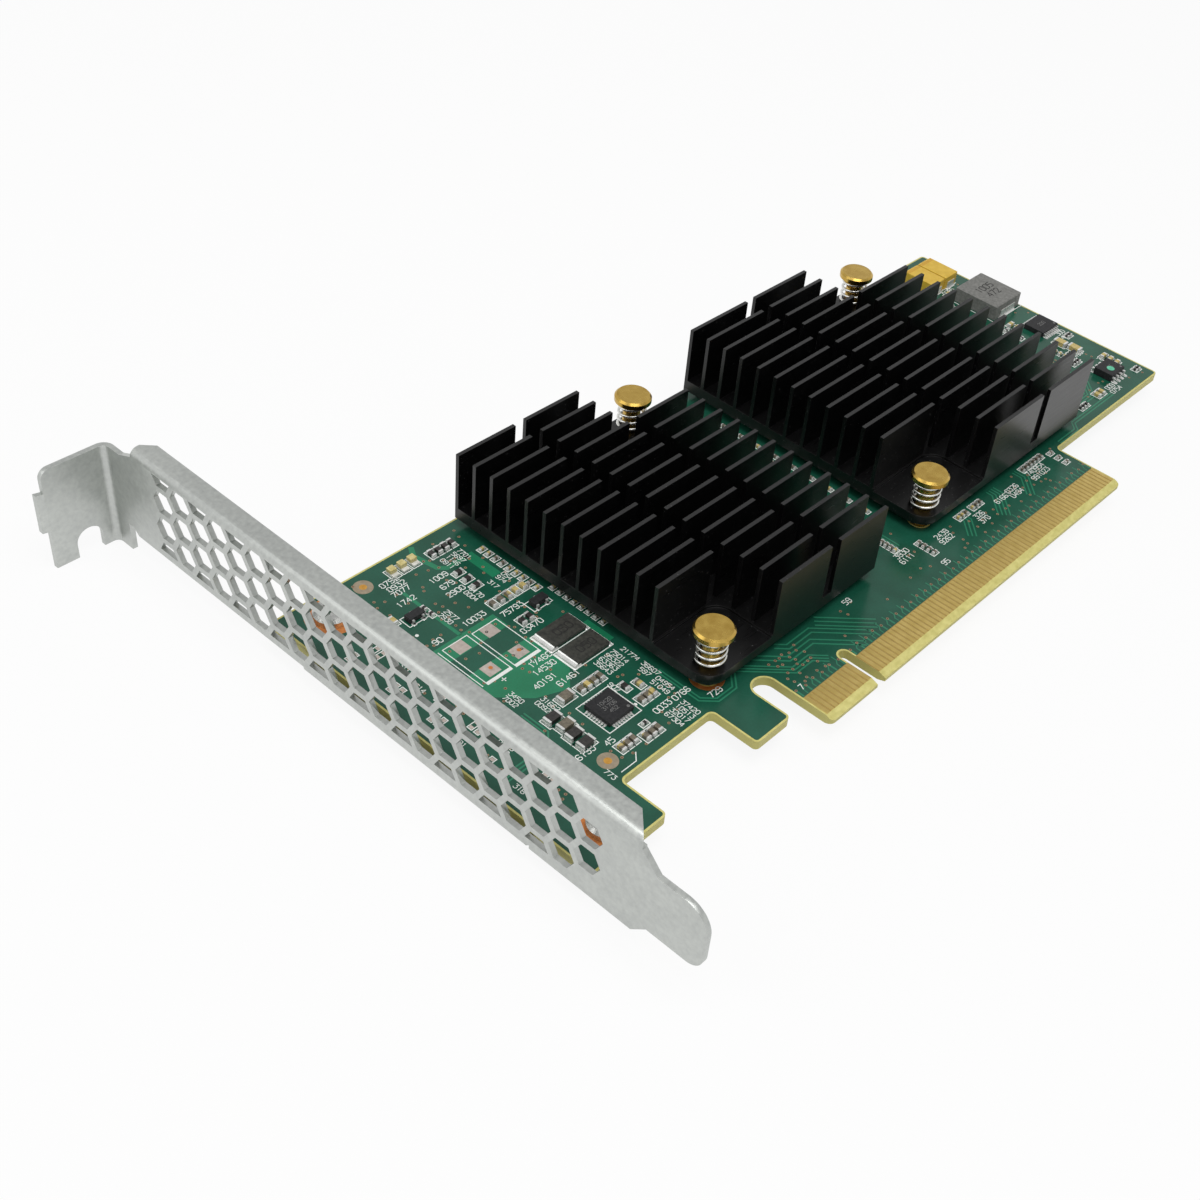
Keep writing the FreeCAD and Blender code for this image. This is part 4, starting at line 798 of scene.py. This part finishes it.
def scattered(areas, taken, chance):
    """Seeded places in several areas that keep clear of the taken boxes and of each other."""
    spots = []
    for low, high, count in areas:
        tries = 0
        found = 0
        while found < count and tries < count * HOLE_TRIES:
            tries += 1
            spot = (chance.uniform(low[0], high[0]), chance.uniform(low[1], high[1]))
            point = (Vector((*spot, 0)), Vector((*spot, 0)))
            near = any(math.dist(spot, other) < HOLE_SPACING for other in spots)
            if not near and not any(meets(grown(box, HOLE_CLEARANCE), point) for box in taken):
                spots.append(spot)
                found += 1
    return spots


def contact_lines():
    """Places of the contacts along X, one list for each side of the key notch."""
    low, high = (Vector(corner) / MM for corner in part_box("contact_fingers_top"))
    right = int((high.x - CONTACT_FIRST) / CONTACT_PITCH) + 1
    left = int((-low.x - CONTACT_FIRST) / CONTACT_PITCH) + 1
    return ([-CONTACT_FIRST - CONTACT_PITCH * i for i in range(left)],
            [CONTACT_FIRST + CONTACT_PITCH * i for i in range(right)])


def board_lines(underside):
    """Lines under the mask, bright patches and the plated holes of one side, whose bores are flat discs of
    painted shade.
    """
    side = "bottom" if underside else "top"
    chance = random.Random(SEED + underside)
    pours = Layer(POUR_HIGH, underside)
    lines = Layer(TRACE_HIGH, underside)
    rings = Layer(PLATING_HIGH, underside)
    bores = Layer(TRACE_HIGH, underside)
    for points in BRIGHT_PATCHES:
        pours.polygon(points)
    for points, width in BRIGHT_STRIPES:
        pours.path(points, width)
    for points, count, spacing in ROUTES:
        for i in range(count):
            lines.path(sideways(points, (i - (count - 1) / 2) * spacing), TRACE_WIDE)
    areas = UNDERSIDE_AREAS if underside else HOLE_AREAS
    taken = [] if underside else part_boxes()
    spots = scattered(areas, taken, chance)
    for contacts in contact_lines():
        for number, x in enumerate(contacts):
            if number % 2:
                aside = x + STEPPED_ASIDE
                bends = [(x, STEPPED_BEND), (aside, STEPPED_BEND + STEPPED_ASIDE)]
                lines.path([(x, LEAD_START), *bends, (aside, STEPPED_END)], STEPPED_WIDE)
            else:
                end = STRAIGHT_END + STRAIGHT_FURTHER * (number % 4 == 2)
                lines.path([(x, LEAD_START), (x, end)], STRAIGHT_WIDE)
                spots.append((x, end))
    for spot in spots:
        rings.disc(spot, HOLE_PAD, HOLE_BORE, sides=HOLE_SIDES)
        # The bore is a flat disc of painted shade, not an open hole
        bores.disc(spot, HOLE_BORE, sides=HOLE_SIDES)
    pours.finish("bright_patches_" + side, POUR, "laminate")
    lines.finish("trace_lines_" + side, TRACE, "laminate")
    rings.finish("hole_rings_" + side, VIA_METAL, "gold_plating")
    bores.finish("painted_hole_shade_" + side, HOLE_PAINTED_SHADE)


# Radii of the bare copper round the screws and pins. Only the first pins have it on the component side
SCREW_RING, SCREW_BORE = 4.0, 1.8
PIN_RING, PIN_BORE = 2.7, 1.9
PIN_COUNT, RINGED_PINS = 4, 2
RING_SIDES = 48

# Places, radii and sides of the reference marks
REFERENCE_MARKS = [(-41.4, 16.8), (-42.5, 65.9)]
MARK_RING, MARK_RING_SIDES = 1.55, 40
MARK_DOT, MARK_DOT_SIDES = 0.6, 24

# How far the controller's lands reach out from its pads
LAND_REACH = 0.5


def controller_lands():
    """Bright lands that reach out from under the controller's pads."""
    lands = Layer(PLATING_HIGH)
    middle = middle_of(solids_of("controller_chip")[0])
    for low, high in solids_of("controller_pads"):
        away = middle_of((low, high)) - middle
        axis = 0 if abs(away.x) > abs(away.y) else 1
        outer = high if away[axis] > 0 else low
        outer[axis] += math.copysign(LAND_REACH, away[axis])
        lands.polygon(rectangle(low, high))
    lands.finish("controller_lands", SOLDER, "tinned_metal")


def plated_areas():
    """Bare copper rings, reference marks and the pads of unfitted parts."""
    copper = Layer(PLATING_HIGH)
    gold = Layer(PLATING_HIGH)
    clearings = Layer(TRACE_HIGH)
    tinned = Layer(PLATING_HIGH)
    dots = Layer(PRINT_HIGH, low=PLATING_HIGH)
    under = Layer(PLATING_HIGH, underside=True)
    for spot in REFERENCE_MARKS:
        clearings.disc(spot, MARK_RING, MARK_DOT, sides=MARK_RING_SIDES)
        gold.disc(spot, MARK_DOT, sides=MARK_DOT_SIDES)
    for box in solids_of("bracket_screws"):
        for layer in (copper, under):
            layer.disc(middle_of(box), SCREW_RING, SCREW_BORE, sides=RING_SIDES)
    for number in range(1, PIN_COUNT + 1):
        spot = middle_of(solids_of("push_pin_%d" % number)[0])
        for layer in (copper, under) if number <= RINGED_PINS else (under,):
            layer.disc(spot, PIN_RING, PIN_BORE, sides=RING_SIDES)
    for low, high in small_places():
        for left in (low.x + SMALL_PAD_MARGIN, high.x - SMALL_PAD_MARGIN - SMALL_PAD_LONG):
            near = (left, low.y + SMALL_PAD_MARGIN)
            far = (left + SMALL_PAD_LONG, high.y - SMALL_PAD_MARGIN)
            tinned.polygon(rectangle(near, far))
    half = Vector((EMPTY_PAD_HALF, EMPTY_PAD_HALF))
    for low, high in EMPTY_PLACES:
        across = (low[0] + high[0]) / 2
        for along in (low[1] + EMPTY_PAD_NEAR, high[1] - EMPTY_PAD_FAR):
            pad = Vector((across, along))
            tinned.polygon(rectangle(pad - half, pad + half))
        dots.disc((across + EMPTY_DOT_X, low[1] + EMPTY_DOT_Y), EMPTY_DOT, sides=EMPTY_DOT_SIDES)
    dots.finish("unfitted_pad_dots", COPPER, "gold_plating")
    clearings.finish("reference_mark_rings", CLEARING, "laminate")
    copper.finish("copper_areas_top", COPPER, "gold_plating")
    gold.finish("reference_mark_dots", GOLD_DOT, "gold_plating")
    under.finish("copper_areas_bottom", COPPER, "gold_plating")
    tinned.finish("unfitted_pads", BARE_PAD, "tinned_metal")


# Width of the printed lines, and the parts with a printed outline and its distance from them
PRINT_LINE = 0.15
OUTLINED = {
    "power_inductor": 0.5, "tantalum_capacitor_1": 0.15, "tantalum_capacitor_2": 0.15,
    "transistor_1": 0.5, "transistor_2": 0.5, "light_bases": 0.3, "controller_chip": 0.85,
}

# Small parts: the gap under which solids are one part, the distance of the printed outline from a part, and
# the gap under which two outlines share a side
SMALL_PARTS = [
    "chip_resistors", "resistor_terminals", "ceramic_capacitors", "capacitor_terminals",
    "sense_resistor_1", "sense_resistor_2", "sense_terminals",
]
SOLID_GAP = 0.02
SMALL_PART_MARGIN = 0.32
CELL_GAP = 0.75

# Height, stroke and line spacing of the printed numbers and of the turned ones, and the indent of every
# other line that isn't turned
NUMBER_TYPE = (1.0, 0.13, 1.35)
TURNED_TYPE = (0.8, 0.105, 1.15)
NUMBER_INDENT = 0.3

# Single lines and dots in the print
LONE_LINES = [
    [(-43.95, 38.6), (-43.95, 48.0)],
    [(-37.4, 15.3), (-38.6, 14.1), (-41.6, 14.1)],
]
LONE_DOTS = [(-30.7, 21.5), (-43.7, 52.7)]
LONE_DOT = 0.28


def printed_numbers(layer, places, chance, turned=False):
    """Plain numbers in blocks of one or more lines. Turned ones read along -Y."""
    tall, stroke, step = TURNED_TYPE if turned else NUMBER_TYPE
    for x, y, digits, lines in places:
        for line in range(lines):
            text = "".join(str(chance.randrange(10)) for _ in range(digits))
            start = (x + step * line, y) if turned else (x + NUMBER_INDENT * (line % 2), y + step * line)
            layer.number(text, start, tall, stroke, turned)


def cell(box, others):
    """The printed outline of a small part, whose sides lie midway to the parts close beside it."""
    low, high = grown(box, SMALL_PART_MARGIN)
    for other in others:
        for axis, cross in ((0, 1), (1, 0)):
            if other[0][cross] < box[1][cross] and box[0][cross] < other[1][cross]:
                after = other[0][axis] - box[1][axis]
                before = box[0][axis] - other[1][axis]
                if 0 < after < CELL_GAP:
                    high[axis] = box[1][axis] + (after + PRINT_LINE) / 2
                if 0 < before < CELL_GAP:
                    low[axis] = box[0][axis] - (before + PRINT_LINE) / 2
    return low, high


def board_print():
    """White outlines, numbers and marks on both sides of the board."""
    chance = random.Random(SEED)
    ink = Layer(PRINT_HIGH)
    small = grouped([box for node in SMALL_PARTS for box in solids_of(node)], SOLID_GAP)
    outlines = [cell(box, small) for box in small]
    outlines += [grown(box, margin) for node, margin in OUTLINED.items() for box in solids_of(node)]
    for low, high in outlines + small_places() + EMPTY_PLACES:
        ink.frame(low, high, PRINT_LINE)
    for low, high in EMPTY_PLACES:
        bar = low[1] - POLARITY_BAR / 2
        ink.path([(low[0], bar), (high[0], bar)], POLARITY_BAR)
        x, y = (low[0] + high[0]) / 2, low[1] - PLUS_BELOW
        ink.path([(x - PLUS_HALF, y), (x + PLUS_HALF, y)], PRINT_LINE)
        ink.path([(x, y - PLUS_HALF), (x, y + PLUS_HALF)], PRINT_LINE)
    for points in LONE_LINES:
        ink.path(points, PRINT_LINE)
    for spot in LONE_DOTS:
        ink.disc(spot, LONE_DOT)
    printed_numbers(ink, NUMBERS, chance)
    printed_numbers(ink, TURNED_NUMBERS, chance, turned=True)
    ink.finish("board_print_top", PRINT)
    under = Layer(PRINT_HIGH, underside=True)
    printed_numbers(under, UNDERSIDE_NUMBERS, chance)
    under.finish("board_print_bottom", PRINT)


def top_layer(node, thick=MARK_HIGH):
    """A thin layer on the top face of a part, and the part's box."""
    low, high = around([corner for box in solids_of(node) for corner in box])
    return Layer(high.z + thick, low=high.z), low, high


# Marks on the parts: lines of digits, their height and material
PART_MARKS = {
    "controller_chip": (("10428", "31706", "452"), 0.62, LASER_MARK),
    "regulator_chip": (("208",), 0.8, LASER_MARK),
    "memory_chip": (("25",), 0.8, LASER_MARK),
    "power_inductor": (("1005", "472"), 1.5, DARK_MARK),
    "sense_resistor_1": (("050",), 1.4, DARK_MARK),
    "sense_resistor_2": (("050",), 1.4, DARK_MARK),
}

# Their line spacing and stroke, as shares of the digits' height
MARK_SPACING, MARK_STROKE = 1.5, 0.14

# The dot in a corner of each chip: its distance from the edges and its radius
CORNER_DOT_IN, CORNER_DOT = 0.6, 0.25

# The bands on the tantalum capacitors: distances from the sides, and of their two edges from the far end
BAND_SIDE, BAND_START, BAND_END = 0.15, 1.1, 0.35

# The round label on the memory chip: its shift from the middle, radius and sides
LABEL_SHIFT, LABEL_RADIUS, LABEL_SIDES = 0.4, 0.75, 32


def part_marks():
    """Plain marks on the moulded parts."""
    for node, (lines, tall, material) in PART_MARKS.items():
        layer, low, high = top_layer(node)
        middle = (low + high) / 2
        for row, digits in enumerate(lines):
            wide = tall * (DIGIT_ADVANCE * (len(digits) - 1) + DIGIT_COLUMNS) / DIGIT_ROWS
            up = ((len(lines) - 1) / 2 - row) * tall * MARK_SPACING - tall / 2
            layer.number(digits, (middle.x - wide / 2, middle.y + up), tall, tall * MARK_STROKE)
        if node.endswith("chip"):
            layer.disc((high.x - CORNER_DOT_IN, low.y + CORNER_DOT_IN), CORNER_DOT)
        layer.finish(node + "_marks", material)
    for node in ("tantalum_capacitor_1", "tantalum_capacitor_2"):
        layer, low, high = top_layer(node)
        start = (low.x + BAND_SIDE, high.y - BAND_START)
        end = (high.x - BAND_SIDE, high.y - BAND_END)
        layer.polygon(rectangle(start, end))
        layer.finish(node + "_band", BAND, "tantalum_case")
    layer, low, high = top_layer("memory_chip", LABEL_HIGH)
    spot = ((low.x + high.x) / 2 - LABEL_SHIFT, (low.y + high.y) / 2 - LABEL_SHIFT)
    layer.disc(spot, LABEL_RADIUS, sides=LABEL_SIDES)
    layer.finish("memory_chip_label", LABEL_GREEN)


# Edge rounding of the CAD nodes: steps, the angle in degrees from which an edge is sharp, and widths
ROUNDING_STEPS = 3
SHARP_ANGLE = 40
ROUNDED = {
    "bracket": 0.1, "heat_sink_front": 0.14, "heat_sink_rear": 0.14, "power_inductor": 0.25,
    "tantalum_capacitor_1": 0.2, "tantalum_capacitor_2": 0.2, "regulator_chip": 0.08, "memory_chip": 0.1,
    "controller_chip": 0.06, "transistor_1": 0.08, "transistor_2": 0.08, "sense_resistor_1": 0.06,
    "sense_resistor_2": 0.06, "chip_resistors": 0.04, "ceramic_capacitors": 0.05, "light_lenses": 0.12,
    "light_bases": 0.05, "capacitor_terminals": 0.05, "resistor_terminals": 0.04, "sense_terminals": 0.08,
    "tantalum_terminals": 0.05, "inductor_terminals": 0.05,
}


def dress_nodes():
    """Give each CAD node its material and soften its edges."""
    slots = {part["node"]: part["material_slot"] for part in frame["record"]["subparts"]}
    for name, thing in frame["nodes"].items():
        if slots[name] == "pin_brass":
            material = brass_material("turned_brass_" + name[-1], middle_of(solids_of(name)[0]))
        elif name.startswith("sense_resistor"):
            material = SENSE_GLAZE
        else:
            material = FINISHES[slots[name]]
        for slot in thing.material_slots:
            slot.material = material
        if name in ROUNDED:
            weld = thing.modifiers.new("weld", "WELD")
            weld.merge_threshold = WELD_GAP * MM
            bevel = thing.modifiers.new("soft_edges", "BEVEL")
            bevel.width = ROUNDED[name] * MM
            bevel.segments = ROUNDING_STEPS
            bevel.limit_method = "ANGLE"
            bevel.angle_limit = math.radians(SHARP_ANGLE)
            bevel.harden_normals = True


# Setting

# The photograph's camera, fitted to the card's straight edges: its place, the directions to its right and
# upwards, its lens and sensor, and the nearest distance that it shows
CAMERA_EYE = (-158.84, -77.38, 163.04)
CAMERA_RIGHT = (0.6468, -0.75434, 0.11234)
CAMERA_UP = (0.44558, 0.49331, 0.74706)
CAMERA_LENS = 48.46
CAMERA_SENSOR = 36
CAMERA_SHIFT = (-0.0884, -0.0065)
CAMERA_NEAREST = 5


def place_camera():
    """The camera at the photograph's viewing angle."""
    data = bpy.data.cameras.new("camera")
    data.lens = CAMERA_LENS
    data.sensor_width = CAMERA_SENSOR
    data.shift_x, data.shift_y = CAMERA_SHIFT
    data.clip_start = CAMERA_NEAREST * MM
    camera = add_object("camera", data)
    right = Vector(CAMERA_RIGHT).normalized()
    up = Vector(CAMERA_UP)
    up = (up - right * up.dot(right)).normalized()
    turn = Matrix((right, up, right.cross(up))).transposed()
    camera.matrix_world = Matrix.Translation(Vector(CAMERA_EYE) * MM) @ turn.to_4x4()
    bpy.context.scene.camera = camera


# The floor: half of its side in metres, its colour, and the share of shading in what is seen of it
FLOOR_HALF = 2.5
FLOOR_COLOUR = (0.9, 0.9, 0.9, 1)
FLOOR_SHADE = 0.1


def floor_material():
    """A pale surface that looks almost white, and keeps a faint shadow."""
    material = bpy.data.materials.new("pale_floor")
    material.use_nodes = True
    nodes = Nodes(material.node_tree)
    nodes.tree.nodes.clear()
    diffuse = nodes.node("BsdfDiffuse", {"Color": FLOOR_COLOUR}).outputs[0]
    white = nodes.node("Emission").outputs[0]
    shade = nodes.node("MixShader", {"Fac": FLOOR_SHADE, 1: white, 2: diffuse}).outputs[0]
    choice = nodes.node("MixShader", {"Fac": nodes.seen_share(), 1: diffuse, 2: shade}).outputs[0]
    nodes.node("OutputMaterial", {"Surface": choice})
    return material


def place_floor():
    """A plain pale floor under the card that shows its shadow."""
    shape = bmesh.new()
    corners = rectangle((-FLOOR_HALF, -FLOOR_HALF), (FLOOR_HALF, FLOOR_HALF))
    shape.faces.new([shape.verts.new((x, y, FLOOR_LEVEL)) for x, y in corners])
    floor = add_object("floor", mesh_of("floor", shape, floor_material()))


# The surround: strength of its light on the card, and of its top where the card mirrors it
SURROUND_LIGHT = 0.38
CEILING_LIGHT = 0.5


def light_world():
    """A white surround that lights the card evenly."""
    world = bpy.data.worlds.new("studio")
    bpy.context.scene.world = world
    world.use_nodes = True
    nodes = Nodes(world.node_tree)
    background = nodes.tree.nodes["Background"].inputs
    background["Color"].default_value = (1, 1, 1, 1)
    direction = nodes.node("TexCoord").outputs["Generated"]
    height = nodes.node("SeparateXYZ", {"Vector": direction}).outputs["Z"]
    mirrored = nodes.spread(height, 1.0, CEILING_LIGHT, 0, 1)
    level = nodes.spread(nodes.seen_share(), SURROUND_LIGHT, mirrored, 0, 1)
    camera_ray = nodes.node("LightPath").outputs["Is Camera Ray"]
    nodes.feed(background["Strength"], nodes.calculate("MAXIMUM", level, camera_ray))


# Soft lamps: place in metres, point aimed at, side in metres and power in watts
LAMPS = {
    "key_lamp": ((-0.06, -0.1, 0.62), (0.02, 0.03, 0.0), 0.45, 2.2),
    "side_lamp": ((-0.4, 0.3, 0.4), (0.0, 0.04, 0.0), 0.35, 0.5),
}


def place_lamps():
    """Two large soft lamps."""
    for name, (spot, aim, side, power) in LAMPS.items():
        data = bpy.data.lights.new(name, "AREA")
        data.size = side
        data.energy = power
        lamp = add_object(name, data)
        lamp.location = spot
        lamp.rotation_euler = (Vector(aim) - Vector(spot)).to_track_quat("-Z", "Y").to_euler()


dress_nodes()
solder_mask("top", 1, BOARD_HIGH.z)
solder_mask("bottom", -1, BOARD_LOW.z)
solder_joints()
board_lines(underside=False)
board_lines(underside=True)
plated_areas()
controller_lands()
board_print()
part_marks()
place_camera()
place_floor()
light_world()
place_lamps()
bpy.context.scene.view_settings.view_transform = "Standard"
